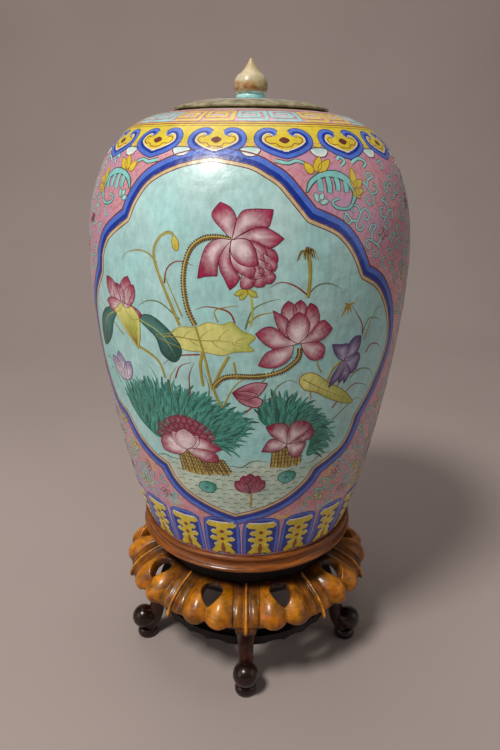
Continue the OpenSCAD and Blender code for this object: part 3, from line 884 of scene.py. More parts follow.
def paint_fret_motif(coat, middle):
    """One yellow stacked fret in its blue frame, above the foot."""
    frame_line = [(-7.6, 12), (-7.6, 28), (-7.2, 42), (-5.6, 48), (0, 49.4), (5.6, 48), (7.2, 42), (7.6, 28), (7.6, 12)]
    frame_line = spline([(middle + az, up) for az, up in frame_line], 5)
    coat.fill(frame_line, BLUE, 1.2)
    coat.stroke(frame_line, 2.2, LIGHT_BLUE, 1.7)
    coat.stroke(frame_line, 0.6, BLUE, 2.1, shift=1.3)
    shade = mixed(BLUE, INK, 0.75)
    coat.stroke([(middle, 12), (middle, 43)], 9.9, shade, 1.45)
    for up, half, thick in ((42.5, 4.9, 5.2), (34.5, 3.6, 4.2), (27.5, 4.3, 4.2), (20.5, 3.0, 3.4)):
        bar = [(middle - half, up + 0.8), (middle, up - 0.4), (middle + half, up + 0.8)]
        coat.stroke(spline([(middle - half - 1, up + 0.8), (middle, up - 0.4), (middle + half + 1, up + 0.8)], 4),
                    thick + 1.6, shade, 1.5)
        coat.stroke(spline(bar, 4), thick, YELLOW, 2.3)
        for side in (-1, 1):
            knob = coat.moved(ring([(-1, 0), (0, 1), (1, 0), (0, -1)], 4), middle + side * half, up + 0.8, 0.5 * thick + 0.5)
            coat.fill(knob, mixed(WHITE, YELLOW, 0.35), 2.0)
            knob = coat.moved(ring([(-1, 0), (0, 1), (1, 0), (0, -1)], 4), middle + side * half, up + 0.4, 0.5 * thick)
            coat.fill(knob, YELLOW, 2.4)
    coat.stroke([(middle, 13), (middle, 43)], 8.5, YELLOW, 2.25)
    coat.stroke(spline([(middle - 5.6, 46), (middle, 45.4), (middle + 5.6, 46)]), 1.3, WHITE, 2.2)
    for side in (-1, 1):
        foot = [(middle + side * 1.5, 22), (middle + side * 3.2, 16), (middle + side * 5, 12)]
        coat.stroke(spline(foot, 4), 5.8, shade, 1.55)
        coat.stroke(spline(foot, 4), 4.4, YELLOW, 2.3)
    for up in (36, 28):
        coat.fill(coat.moved(ring([(-1.8, 0), (0, 1.8), (1.8, 0), (0, -1.8)], 4), middle, up), RED_BROWN, 3.1)
    coat.stroke([(middle, 24), (middle, 12)], 3.4, mixed(RED_BROWN, OCHRE, 0.4), 2.8, taper=-0.5)


def paint_foot_band(coat):
    for k in range(20):
        middle = -11.5 + 18 * k
        paint_fret_motif(coat, middle)
        coat.stroke([(middle + 9, 12), (middle + 9, 49)], 3.6, mixed(PINK, LILAC, 0.5), 1.3)
        for side in (-1, 1):
            coat.stroke([(middle + 9, 12), (middle + 9, 49)], 0.5, mixed(BLUE, LILAC, 0.4), 1.7, shift=2.1 * side)


SCROLL_COLUMNS = 13


def scroll_unit():
    """One turquoise vine with curled ends, drawn in millimetres about its own middle."""
    return [
        spline([(-11, -4), (-7, 2), (-1, 3), (3, -2), (8, -5), (12, -1), (10, 3.5), (6.5, 2.5), (7.5, -0.5)], 4),
        spline([(-11, -4), (-13, 1), (-10, 4.5), (-7, 2.8)], 4),
        spline([(-1, 3), (-3, 8), (1, 10.5), (4, 8), (2.2, 5.6)], 4),
        spline([(3, -2), (1, -7), (-3, -8.5), (-5.5, -5.5), (-3.5, -3.6)], 4),
    ]


def clear_of_panels(points, outline):
    for az, up in points:
        for turn in (0, 180):
            x = (az + 180 - turn) % 360 - 180
            in_panel = inside(outline, ((x + 5) * 0.945 - 5, 175 + (up - 175) * 0.95))
            in_spray = math.hypot(1.5 * (abs(x + 12) - 38), up - 284) < 14
            if in_panel or in_spray:
                return False
    return True


def paint_scrolls(coat, first):
    """The dense vine scrolls on the rose ground to one side of the panels, from the given column round."""
    outline = panel_outline()
    for row in range(16):
        up = 58 + 16 * row
        for k in range(first, first + SCROLL_COLUMNS):
            az = (180 / SCROLL_COLUMNS) * (k + 0.5 * (row % 2)) + 4 * noise.noise(Vector((row, k, 7)))
            turn = 80 * noise.noise(Vector((k * 0.7, row * 0.9, 4))) + 90 * (k % 4)
            for number, vine in enumerate(scroll_unit()):
                line = coat.moved(vine, az, up, 0.82, turn, mirror=(row + k) % 2 == 1)
                if max(p[1] for p in line) > 301 or min(p[1] for p in line) < 52:
                    continue
                if not clear_of_panels(line[::4], outline):
                    continue
                coat.stroke(line, 2.0, mixed(INK, GREEN, 0.4), 1.0, taper=0.3, grain=2.6)
                coat.stroke(line, 1.25, mixed(TURQUOISE, WHITE, 0.1), 1.7, taper=0.35, grain=2.2)
            place = (az + 4.5, up + 7)
            often = 3 if up > 130 else 1
            if place[1] < 298 and (row + 2 * k) % often == 0 and clear_of_panels([place, (az - 3, up + 9)], outline):
                colours = (YELLOW, ROSE, mixed(YELLOW, TURQUOISE, 0.4), mixed(ROSE, BLUSH, 0.4))
                paint_sprig(coat, place, turn, colours[(row + k) % 4])


def paint_sprig(coat, place, turn, colour):
    """A small leaf of three lobes between the vines."""
    for lean in (-55, 0, 55):
        direction = math.radians(turn + lean)
        spread = coat.chart.spread(place[1])
        tip = (place[0] + 6.5 * math.cos(direction) / spread, place[1] + 6.5 * math.sin(direction))
        outline = petal_outline(coat.chart, place, tip, 3.4, steps=5)
        shaded(coat, outline, place, tip, mixed(colour, WHITE, 0.25), colour, 2.1, line=mixed(INK, colour, 0.3))


def paint_corner_spray(coat, mirror):
    """The turquoise crescent with hanging fingers and yellow leaves in a panel's upper corner."""

    def put(points):
        return mirrored(points, -12) if mirror else points

    crescent = spline([(17, 281), (18.5, 288), (23, 293), (29, 293.5), (33.5, 288), (35, 279), (33, 273)], 6)
    inner = spline([(32.2, 274), (33.4, 280), (31.2, 286.5), (27.5, 289.6), (23, 289.4), (19.8, 286.2), (17.6, 281)], 6)
    coat.fill(put(crescent + inner), mixed(TURQUOISE, GREEN, 0.1), 2.4)
    coat.stroke(put(crescent + inner), 0.8, mixed(INK, GREEN, 0.4), 3, closed=True)
    for k in range(4):
        az = 21.6 + 3.1 * k
        finger = spline([(az, 290.5), (az + 0.4, 285), (az + 0.2, 281.5 - (k % 2))], 4)
        coat.stroke(put(finger), 4.2, mixed(INK, GREEN, 0.4), 2.5)
        coat.stroke(put(finger), 3.2, mixed(TURQUOISE, GREEN, 0.1), 3.1)
    curl = spline(put([(33.6, 275), (31, 271), (27, 271.5), (25.5, 275), (28, 277)]), 5)
    coat.stroke(curl, 2.4, mixed(INK, GREEN, 0.4), 2.5, taper=0.3)
    coat.stroke(curl, 1.5, mixed(TURQUOISE, GREEN, 0.1), 3.1, taper=0.3)
    paint_sprig(coat, put([(21, 275)])[0], 60, mixed(TURQUOISE, WHITE, 0.2))
    for base, tip in (((20, 292), (17.5, 299)), ((21, 293), (23.5, 303)), ((22, 293), (27, 301)),
                      ((34.5, 282), (35, 296)), ((34.5, 283), (38.5, 288)), ((34.5, 281), (38, 281)),
                      ((34, 282), (36.5, 277))):
        petal(coat, put([base])[0], put([tip])[0], 5.2, 2.6, root=mixed(GOLD, YELLOW, 0.6), edge=YELLOW, line=OCHRE,
              full=0.75, veins=1)
    for vine in ([(30, 301), (31.5, 303), (33, 300), (31, 297)], [(36, 299), (40, 302), (43, 299), (41, 296)],
                 [(8, 300), (12, 298.5), (15, 300), (18, 298)]):
        line = spline(put(vine), 5)
        coat.stroke(line, 3.0, mixed(INK, GREEN, 0.35), 1.2, taper=0.2)
        coat.stroke(line, 1.9, mixed(TURQUOISE, WHITE, 0.1), 1.9, taper=0.25)


def paint_corner_sprays(coat):
    for mirror in (False, True):
        paint_corner_spray(coat, mirror)


def paint_cover(coat):
    """Small flower sprigs round the finial, and a thin line where the bare edge begins."""
    coat.hoop(13.5, 0.8, mixed(RED_BROWN, PINK, 0.4), 1.6)
    coat.hoop(15, 1.4, mixed(TURQUOISE, WHITE, 0.1), 1.4)
    for k in range(5):
        az = 36 + 72 * k
        vine = spline([(-13, -3), (-8, 3), (-2, 1), (4, -3), (9, 1), (13, 4)], 5)
        coat.stroke(coat.moved(vine, az, 27), 1.5, mixed(GREEN, TURQUOISE, 0.3), 1.4, taper=0.4)
        for turn in range(5):
            colour = (ROSE, YELLOW)[k % 2]
            direction = math.radians(72 * turn + 18)
            tip = coat.moved([(5.5 * math.cos(direction), 5.5 * math.sin(direction))], az, 28)[0]
            petal(coat, (az, 28), tip, 4.4, 2.2, root=mixed(colour, WHITE, 0.6), edge=colour, veins=0)
        for x, y, lean in ((-9, 2, 140), (9, 1, 40), (4, -4, -60)):
            place = coat.moved([(x, y)], az, 27)[0]
            paint_sprig(coat, place, lean, GREEN)


PANEL_PAINTING = {
    "panel_ground": [paint_panel_ground],
    "panel_border": [paint_panel_border],
    "panel_water": [paint_water],
    "panel_reeds": [paint_reeds, paint_woven_roots],
    "panel_grasses": [paint_grasses],
    "panel_leaves": [paint_green_leaves, paint_yellow_leaves],
    "panel_stems": [paint_stems],
    "panel_lotuses": [paint_top_lotus, paint_right_lotus, paint_low_lotuses],
    "panel_small_flowers": [paint_left_rose, paint_purple_flower, paint_buds],
    "corner_sprays": [paint_corner_sprays],
}
BAND_PAINTING = {
    "ruyi_band": [paint_ruyi_band],
    "fret_band": [paint_fret_band],
    "foot_band": [paint_foot_band],
    "scrolls_right": [lambda coat: paint_scrolls(coat, 0)],
    "scrolls_left": [lambda coat: paint_scrolls(coat, SCROLL_COLUMNS)],
}


# Materials


class Shader:
    """A Principled material and short ways to add the nodes that vary it."""

    def __init__(self, name, **fixed):
        self.material = bpy.data.materials.new(name)
        self.material.use_nodes = True
        self.nodes = self.material.node_tree.nodes
        self.links = self.material.node_tree.links
        self.surface = self.nodes["Principled BSDF"]
        self.place = self.nodes.new("ShaderNodeTexCoord").outputs["Object"]
        for socket, value in fixed.items():
            self.surface.inputs[socket.replace("_", " ")].default_value = value

    def noise(self, scale, detail=3.0, stretch=(1, 1, 1)):
        mapping = self.nodes.new("ShaderNodeMapping")
        mapping.inputs["Scale"].default_value = stretch
        self.links.new(self.place, mapping.inputs["Vector"])
        texture = self.nodes.new("ShaderNodeTexNoise")
        texture.inputs["Scale"].default_value = scale
        texture.inputs["Detail"].default_value = detail
        self.links.new(mapping.outputs["Vector"], texture.inputs["Vector"])
        return texture.outputs["Fac"]

    def cells(self, scale):
        texture = self.nodes.new("ShaderNodeTexVoronoi")
        texture.inputs["Scale"].default_value = scale
        self.links.new(self.place, texture.inputs["Vector"])
        return texture.outputs["Distance"]

    def paint(self):
        attribute = self.nodes.new("ShaderNodeAttribute")
        attribute.attribute_name = "paint"
        return attribute.outputs["Color"]

    def axis(self, name):
        split = self.nodes.new("ShaderNodeSeparateXYZ")
        self.links.new(self.place, split.inputs["Vector"])
        return split.outputs[name]

    def radius(self):
        flat = self.nodes.new("ShaderNodeVectorMath")
        flat.operation = "MULTIPLY"
        flat.inputs[1].default_value = (1, 1, 0)
        self.links.new(self.place, flat.inputs[0])
        length = self.nodes.new("ShaderNodeVectorMath")
        length.operation = "LENGTH"
        self.links.new(flat.outputs["Vector"], length.inputs[0])
        return length.outputs["Value"]

    def spread(self, value, low, high, to_low=0.0, to_high=1.0):
        node = self.nodes.new("ShaderNodeMapRange")
        node.inputs["From Min"].default_value = low
        node.inputs["From Max"].default_value = high
        node.inputs["To Min"].default_value = to_low
        node.inputs["To Max"].default_value = to_high
        self.links.new(value, node.inputs["Value"])
        return node.outputs["Result"]

    def sum(self, first, second, share):
        node = self.nodes.new("ShaderNodeMath")
        node.operation = "MULTIPLY_ADD"
        self.links.new(second, node.inputs[0])
        node.inputs[1].default_value = share
        self.links.new(first, node.inputs[2])
        return node.outputs["Value"]

    def ramp(self, value, stops):
        node = self.nodes.new("ShaderNodeValToRGB")
        elements = node.color_ramp.elements
        while len(elements) < len(stops):
            elements.new(0.5)
        for element, (position, colour) in zip(elements, stops):
            element.position = position
            element.color = colour
        self.links.new(value, node.inputs["Fac"])
        return node.outputs["Color"]

    def mix(self, first, second, factor, blend="MIX"):
        """Colours are sockets or plain values, and so is the factor."""
        node = self.nodes.new("ShaderNodeMix")
        node.data_type = "RGBA"
        node.blend_type = blend
        for socket, value in ((node.inputs["Factor"], factor), (node.inputs[6], first), (node.inputs[7], second)):
            if isinstance(value, bpy.types.NodeSocket):
                self.links.new(value, socket)
            else:
                socket.default_value = value
        return node.outputs[2]

    def colour(self, socket):
        self.links.new(socket, self.surface.inputs["Base Color"])

    def roughness(self, socket):
        self.links.new(socket, self.surface.inputs["Roughness"])

    def bump(self, height, depth, below=None):
        node = self.nodes.new("ShaderNodeBump")
        node.inputs["Distance"].default_value = depth
        self.links.new(height, node.inputs["Height"])
        if below is not None:
            self.links.new(below, node.inputs["Normal"])
        self.links.new(node.outputs["Normal"], self.surface.inputs["Normal"])
        return node.outputs["Normal"]


def grey(value):
    return (value, value, value, 1.0)


def enamel_material():
    """Opaque painted enamel under a soft gloss, unevenly laid and a little pitted."""
    look = Shader("painted_enamel", Coat_Weight=0.25, Coat_Roughness=0.14)
    painted = look.mix(look.paint(), look.spread(look.noise(70, 4), 0.3, 0.7, 0.86, 1.06), 1.0, "MULTIPLY")
    painted = look.mix(painted, look.spread(look.noise(340, 3, (1, 1, 0.4)), 0.3, 0.7, 0.88, 1.08), 1.0, "MULTIPLY")
    pits = look.spread(look.cells(420), 0.03, 0.1, 1.0, 0.0)
    painted = look.mix(painted, rgb(190, 160, 140), look.mix(grey(0), pits, look.spread(look.noise(30), 0.5, 0.75)))
    look.colour(painted)
    look.roughness(look.spread(look.noise(160, 4), 0.25, 0.75, 0.26, 0.48))
    uneven = look.bump(look.noise(85, 3), 0.0009)
    look.bump(look.noise(900, 2), 0.00004, uneven)
    return look.material


def rose_ground_material():
    """The rose enamel between the painted panels: thin, cloudy and finely stippled."""
    look = Shader("rose_ground", Coat_Weight=0.3, Coat_Roughness=0.16)
    cloudy = look.ramp(look.noise(26, 5), [(0.3, LILAC), (0.5, PINK), (0.72, mixed(PINK, BLUSH, 0.4))])
    low = look.spread(look.axis("Z"), 0.15, 0.24, 1.0, 0.0)
    for scale, colour in ((52, mixed(TURQUOISE, GREEN, 0.2)), (61, YELLOW), (47, mixed(GOLD, PINK, 0.5))):
        blotch = look.mix(grey(0), look.spread(look.noise(scale, 4), 0.54, 0.62, 0.0, 0.85), low)
        cloudy = look.mix(cloudy, colour, blotch)
    scribble = look.spread(look.noise(380, 3), 0.48, 0.62, 0.0, 0.6)
    cloudy = look.mix(cloudy, mixed(PINK, ROSE, 0.45), scribble)
    look.colour(look.mix(cloudy, mixed(PINK, WHITE, 0.4), look.spread(look.cells(650), 0.05, 0.2, 0.5, 0.0)))
    look.roughness(look.spread(look.noise(140, 4), 0.25, 0.75, 0.22, 0.45))
    uneven = look.bump(look.noise(90, 3), 0.0003)
    look.bump(look.cells(650), 0.00006, uneven)
    return look.material


def white_glaze_material():
    """The plain glaze inside the jar: bluish white, with a few iron spots."""
    look = Shader("white_glaze", Coat_Weight=0.6, Coat_Roughness=0.08)
    wash = look.ramp(look.noise(14, 4), [(0.3, rgb(222, 226, 222)), (0.7, rgb(240, 240, 234))])
    spots = look.spread(look.cells(120), 0.02, 0.05, 0.7, 0.0)
    look.colour(look.mix(wash, rgb(120, 90, 60), spots))
    look.roughness(look.spread(look.noise(60), 0.3, 0.7, 0.12, 0.28))
    look.bump(look.noise(45, 3), 0.0004)
    return look.material


def biscuit_material():
    """The unglazed body at the rims and the foot ring, stained by use."""
    look = Shader("biscuit")
    body = look.ramp(look.noise(90, 6), [(0.3, rgb(160, 146, 112)), (0.5, rgb(196, 184, 150)), (0.7, rgb(214, 204, 176))])
    stain = look.spread(look.noise(35, 4, (1, 1, 3)), 0.5, 0.7, 0.0, 0.6)
    look.colour(look.mix(body, rgb(112, 98, 62), stain))
    look.roughness(look.spread(look.noise(200), 0.3, 0.7, 0.55, 0.85))
    look.bump(look.noise(500, 4), 0.0002)
    return look.material


def cover_material():
    """The cover: pale rose glaze on top, a worn olive and cream edge, and bare body below."""
    look = Shader("cover_glaze", Coat_Weight=0.35, Coat_Roughness=0.15)
    jar_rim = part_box("jar_body")[1].z
    top = look.ramp(look.noise(30, 5), [(0.3, mixed(TURQUOISE, WHITE, 0.35)), (0.7, mixed(TURQUOISE, WHITE, 0.6))])
    worn = look.ramp(look.noise(170, 6), [(0.34, rgb(96, 88, 58)), (0.5, rgb(138, 128, 96)), (0.66, rgb(166, 156, 126))])
    ragged = look.sum(look.radius(), look.noise(120, 4), 0.003)
    glazed = look.spread(ragged, 43 * MM, 44 * MM, 1.0, 0.0)
    above_seat = look.spread(look.axis("Z"), jar_rim + 1.5 * MM, jar_rim + 1.7 * MM)
    glazed = look.mix(grey(0), glazed, above_seat)
    look.colour(look.mix(worn, top, glazed))
    look.roughness(look.mix(grey(0.62), grey(0.26), glazed))
    uneven = look.bump(look.noise(60, 4), 0.0003)
    look.bump(look.noise(600, 3), 0.00008, uneven)
    return look.material


def finial_material():
    """The bud: worn cream gilding at its tip, iron red below, and a turquoise foot."""
    look = Shader("finial_gilding", Coat_Weight=0.3, Coat_Roughness=0.2)
    low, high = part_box("cover_finial")
    height = look.sum(look.axis("Z"), look.noise(150, 4), 0.005)
    ladder = look.spread(height, low.z + 0.0025, high.z + 0.0025)
    bands = look.ramp(ladder, [(0.0, mixed(TURQUOISE, GREEN, 0.1)), (0.13, mixed(TURQUOISE, WHITE, 0.35)),
                               (0.17, rgb(176, 132, 92)), (0.26, rgb(150, 78, 34)), (0.38, rgb(176, 126, 76)),
                               (0.46, rgb(206, 194, 166)), (0.7, rgb(204, 186, 146)), (1.0, rgb(190, 160, 104))])
    worn = look.spread(look.noise(170, 5), 0.42, 0.6, 0.0, 0.75)
    above_foot = look.spread(ladder, 0.15, 0.3)
    look.colour(look.mix(bands, rgb(196, 178, 130), look.mix(grey(0), worn, above_foot)))
    look.roughness(look.spread(look.noise(180), 0.3, 0.7, 0.22, 0.5))
    look.bump(look.noise(300, 4), 0.0003)
    return look.material


def wood_material(name, light, dark, gloss=0.35, coat=0.28, painted=False, grain=(55, 55, 900)):
    """Polished hardwood. The grain runs round the stand, and darker polish lies in its pores."""
    look = Shader(name, Coat_Weight=coat, Coat_Roughness=0.14, Specular_IOR_Level=0.3)
    streaks = look.noise(1, 5, grain)
    broad = look.noise(1, 3, tuple(g * 0.25 for g in grain))
    if painted:
        # With painted=True the base colour is the 'paint' attribute set by stain(), which carries painted shade and
        # painted highlight.
        base = look.mix(look.paint(), look.spread(streaks, 0.3, 0.7, 0.82, 1.14), 1.0, "MULTIPLY")
        cloudy = look.spread(look.noise(105, 5), 0.35, 0.65, 0.5, 1.5)
        base = look.mix(base, cloudy, 1.0, "MULTIPLY")
        ruddy = look.ramp(look.noise(70, 3), [(0.38, (0.92, 0.74, 0.5, 1.0)), (0.56, (1.0, 1.0, 1.0, 1.0))])
        base = look.mix(base, ruddy, 1.0, "MULTIPLY")
    else:
        base = look.ramp(streaks, [(0.35, dark), (0.65, light)])
    base = look.mix(base, look.spread(broad, 0.3, 0.7, 0.84, 1.1), 1.0, "MULTIPLY")
    pores = look.spread(look.noise(1, 2, tuple(g * 3 for g in grain)), 0.62, 0.7, 0.0, 0.55)
    look.colour(look.mix(base, mixed(dark, grey(0), 0.4), pores))
    look.roughness(look.spread(look.noise(120, 4), 0.3, 0.7, gloss - 0.08, gloss + 0.15))
    ridges = look.bump(streaks, 0.00018)
    look.bump(look.noise(260, 3), 0.00015, ridges)
    return look.material


def dress(node, material):
    """Gives a CAD node its material."""
    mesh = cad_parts[node].data
    mesh.materials.clear()
    mesh.materials.append(material)


# Turned shapes


def new_piece(name, mesh, body, materials, smooth=True):
    for material in materials:
        mesh.materials.append(material)
    if smooth:
        mesh.shade_smooth()
    piece = bpy.data.objects.new(name, mesh)
    bpy.context.scene.collection.objects.link(piece)
    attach(piece, body)
    return piece


def lathe(name, outline, sides):
    """A closed turned mesh from a closed (radius, height) outline; returns it with the outline number of each face."""
    count = len(outline)
    points = []
    for k in range(sides):
        turn = 2 * math.pi * k / sides
        points += [(r * math.cos(turn), r * math.sin(turn), z) for r, z in outline]
    faces = []
    rows = []
    for k in range(sides):
        here, after = k * count, (k + 1) % sides * count
        for i in range(count):
            j = (i + 1) % count
            faces.append([here + i, after + i, after + j, here + j])
            rows.append(i)
    mesh = bpy.data.meshes.new(name)
    mesh.from_pydata(points, [], faces)
    mesh.update()
    return mesh, rows


def make_jar(outline, glaze, ground, biscuit):
    """The potted body: the outside outline, a rounded rim, the plain inside and the bare foot ring."""
    wall = 5 * MM
    foot_z = outline[0][1]
    rim_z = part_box("jar_body")[1].z
    mouth_r = 46.5 * MM
    rim_r = outline[-1][0]
    outside = [(r, z) for r, z in outline if z < rim_z - 1.4 * MM]
    lip = [(rim_r, rim_z - 0.9 * MM), (rim_r - 0.5 * MM, rim_z - 0.3 * MM), (rim_r - 1.4 * MM, rim_z),
           (mouth_r + 1.2 * MM, rim_z), (mouth_r + 0.3 * MM, rim_z - 0.4 * MM), (mouth_r, rim_z - 1.4 * MM)]
    floor_z = foot_z + 14 * MM
    inside_wall = []
    for i in range(len(outside) - 1, 0, -3):
        (r1, z1), (r2, z2) = outside[i - 1], outside[i]
        run = math.dist(outside[i - 1], outside[i])
        r, z = r2 - (z2 - z1) / run * wall, z2 + (r2 - r1) / run * wall
        if r > mouth_r and z < rim_z - 6 * MM and z > floor_z + 6 * MM:
            inside_wall.append((r, z))
    corner_r = inside_wall[-1][0]
    bowl = [(corner_r - 2 * MM, floor_z + 2 * MM), (corner_r - 7 * MM, floor_z), (0.2 * MM, floor_z)]
    under = [(0.2 * MM, foot_z + 7 * MM), (69.5 * MM, foot_z + 7 * MM), (72 * MM, foot_z + 3 * MM),
             (73 * MM, foot_z + 0.3 * MM), (74 * MM, foot_z), (79.5 * MM, foot_z)]
    whole = outside + lip + [(mouth_r, rim_z - 7 * MM)] + inside_wall + bowl + under
    mesh, rows = lathe("jar_porcelain", whole, 240)
    lip_end = len(outside) + len(lip)
    inside_end = lip_end + len(inside_wall) + len(bowl)
    for polygon, row in zip(mesh.polygons, rows):
        if row < len(outside) - 1:
            polygon.material_index = 0
        elif row < lip_end - 1 or row >= inside_end:
            polygon.material_index = 2
        else:
            polygon.material_index = 1
    piece = new_piece("jar_porcelain", mesh, "jar", [ground, glaze, biscuit])
    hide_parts("jar_body")
    return piece


# The carved stand. A unit runs from one rib to the next, with a lobe on each side of the cleft between them.

UNIT = 36
APRON_LINE = [(0.0742, 0.090), (0.085, 0.085), (0.099, 0.082), (0.1045, 0.067)]
APRON_DEPTH = 5.0
HOLE_R, HOLE_HALF, HOLE_MIDDLE, HOLE_TIP = 6.8, 8.3, 84.6, 95.5
KNEE_HALF = 10.0


def apron_line(t):
    """(radius, height, outward radius part, outward height part) at the share t down the apron's curve."""
    weights = ((1 - t) ** 3, 3 * (1 - t) ** 2 * t, 3 * (1 - t) * t * t, t ** 3)
    slopes = (-3 * (1 - t) ** 2, 3 * (1 - t) ** 2 - 6 * (1 - t) * t, 6 * (1 - t) * t - 3 * t * t, 3 * t * t)
    r, z = (sum(w * p[k] for w, p in zip(weights, APRON_LINE)) for k in (0, 1))
    dr, dz = (sum(w * p[k] for w, p in zip(slopes, APRON_LINE)) for k in (0, 1))
    length = math.hypot(dr, dz)
    return r, z, -dz / length, dr / length


def from_rib(angle):
    """Degrees from the nearest rib."""
    part = angle % UNIT
    return min(part, UNIT - part)


def relief(angle):
    """How far the carving stands proud at an angle, in millimetres: channel, narrow roll, groove and fat lobe."""
    f = from_rib(angle)
    roll = 1.3 * (1 - eased(abs(f - 4.0), 0.4, 2.9))
    lobe = 6.0 * math.cos(0.5 * math.pi * min(1.0, abs(f - 12.3) / 6.5)) ** 0.75
    return -0.5 + roll + lobe


def reach(angle):
    """Share of the apron's curve that the carving reaches down at an angle."""
    f = from_rib(angle)
    if f < 7:
        return 0.93
    return 0.8 + 0.19 * math.sqrt(max(0.0, 1 - ((f - 12.4) / 6.2) ** 2))


def carved(angle, share, back):
    """A point of the carving, share of the way down, on its face or on its back."""
    t = share * reach(angle)
    r, z, out_r, out_z = apron_line(t)
    proud = relief(angle) * eased(t, -0.25, 0.6)
    curl = 1 - 0.8 * max(0.0, (share - 0.8) / 0.2) ** 2.5
    lift = -APRON_DEPTH * (1 - 0.25 * share) if back else proud * curl
    turn = math.radians(angle + FRONT)
    r = max(r + out_r * lift * MM, APRON_LINE[0][0])
    return (r * math.cos(turn), r * math.sin(turn), z + out_z * lift * MM)


def hole_half_width(radius):
    """Half the width of the drop-shaped hole at a radius, in millimetres."""
    if radius <= HOLE_MIDDLE:
        return HOLE_HALF * max(0.0, 1 - ((HOLE_MIDDLE - radius) / HOLE_R) ** 2.6) ** 0.5
    return HOLE_HALF * max(0.0, 1 - ((radius - HOLE_MIDDLE) / (HOLE_TIP - HOLE_MIDDLE)) ** 1.5)


class Solid:
    """Closed grids of points, gathered and then joined by a fine remesh into one smooth carving."""

    def __init__(self):
        self.points = []
        self.faces = []

    def grid(self, rows, closed_ends=True):
        """A closed tube through rings of points, each ring in order."""
        start, count = len(self.points), len(rows[0])
        for row in rows:
            self.points += row
        for i in range(len(rows) - 1):
            for k in range(count):
                n = (k + 1) % count
                a, b = start + i * count, start + (i + 1) * count
                self.faces.append([a + k, a + n, b + n, b + k])
        if closed_ends:
            self.faces.append([start + k for k in reversed(range(count))])
            self.faces.append([start + (len(rows) - 1) * count + k for k in range(count)])

    def make(self, name, voxel, smooth):
        mesh = bpy.data.meshes.new(name)
        mesh.from_pydata(self.points, [], self.faces)
        mesh.update()
        rough = bpy.data.objects.new(name + "_rough", mesh)
        bpy.context.scene.collection.objects.link(rough)
        remesh = rough.modifiers.new("join", "REMESH")
        remesh.mode = "VOXEL"
        remesh.voxel_size = voxel * MM
        smoothing = rough.modifiers.new("smooth", "SMOOTH")
        smoothing.factor = 0.5
        smoothing.iterations = smooth
        bpy.context.view_layer.update()
        found = rough.evaluated_get(bpy.context.evaluated_depsgraph_get())
        joined = bpy.data.meshes.new_from_object(found)
        joined.name = name
        bpy.data.objects.remove(rough)
        return joined


def carved_strip(solid, west, east, rows=30, columns=14):
    """A strip of the carving between two edges; each is a function from the share down to an angle."""
    for_each_row = []
    for j in range(rows + 1):
        share = j / rows
        angles = [west(share) + (east(share) - west(share)) * i / columns for i in range(columns + 1)]
        front = [carved(a, share, False) for a in angles]
        back = [carved(a, share, True) for a in reversed(angles)]
        for_each_row.append(front + back)
    solid.grid(for_each_row)


def rib_ridge(solid, angle):
    """The thin ridge down a rib, ending in a small hanging tip."""
    rows = []
    turn = math.radians(angle + FRONT)
    outward = (math.cos(turn), math.sin(turn))
    sideways = (-math.sin(turn), math.cos(turn))
    steps = 22
    for i in range(steps + 1):
        t = 0.03 + 0.97 * i / steps
        r, z, out_r, out_z = apron_line(t)
        half = 1.35 * MM * (0.75 + 0.35 * i / steps)
        row = []
        for k in range(10):
            around = 2 * math.pi * k / 10
            aside, lift = half * math.sin(around), (0.4 + 1.7 * math.cos(around)) * MM
            rr, zz = r + out_r * lift, z + out_z * lift
            row.append((rr * outward[0] + aside * sideways[0], rr * outward[1] + aside * sideways[1], zz))
        rows.append(row)
    last = rows[-1]
    middle = [sum(p[k] for p in last) / len(last) for k in range(3)]
    for drop, size in ((1.6, 0.9), (3.0, 0.6), (3.8, 0.2)):
        rows.append([tuple(middle[k] + (p[k] - middle[k]) * size - (drop * MM if k == 2 else 0) for k in range(3))
                     for p in last])
    solid.grid(rows)


def knee_edge(share, side):
    """The angle of the joint between a leg's knee and the apron."""
    return side * math.degrees(math.asin(KNEE_HALF * MM / apron_line(share * 0.93)[0]))


def hole_edge(share, side, middle):
    """The angle of a hole's edge, or of the cleft where there is no hole."""
    radius = apron_line(share * reach(UNIT / 2))[0] / MM
    return middle + side * max(0.02, math.degrees(math.asin(hole_half_width(radius) / radius)))


def apron_mesh(number):
    """One carved segment: three strips between the knees and the two holes, with bridges above and below the holes."""
    solid = Solid()
    half = UNIT / 2
    edges = [
        (lambda s: knee_edge(s, 1) + 0.06, lambda s: hole_edge(s, -1, half)),
        (lambda s: hole_edge(s, 1, half), lambda s: hole_edge(s, -1, 3 * half)),
        (lambda s: hole_edge(s, 1, 3 * half), lambda s: 2 * UNIT - knee_edge(s, 1) - 0.06),
    ]
    for (west, east), columns in zip(edges, (18, 44, 18)):
        carved_strip(solid, west, east, columns=columns)
    for middle in (half, 3 * half):
        bridge(solid, middle)
    rib_ridge(solid, UNIT)
    return solid.make(f"apron_carving_{number}", 0.55, 4)


def bridge(solid, middle):
    """The wood that joins two lobes above a hole and along the cleft below it."""
    for low, high, half, deep in ((0.0, 0.16, 3.0, 0.5), (0.97, 1.0, 1.2, 1.5)):
        rows = []
        for j in range(5):
            t = (low + (high - low) * j / 4) * reach(middle)
            r, z, out_r, out_z = apron_line(t)
            row = []
            for side, lift in ((-1, -deep), (1, -deep), (1, -APRON_DEPTH + 1), (-1, -APRON_DEPTH + 1)):
                turn = math.radians(middle + side * half + FRONT)
                rr = max(r + out_r * lift * MM, APRON_LINE[0][0])
                row.append((rr * math.cos(turn), rr * math.sin(turn), z + out_z * lift * MM))
            rows.append(row)
        solid.grid(rows)


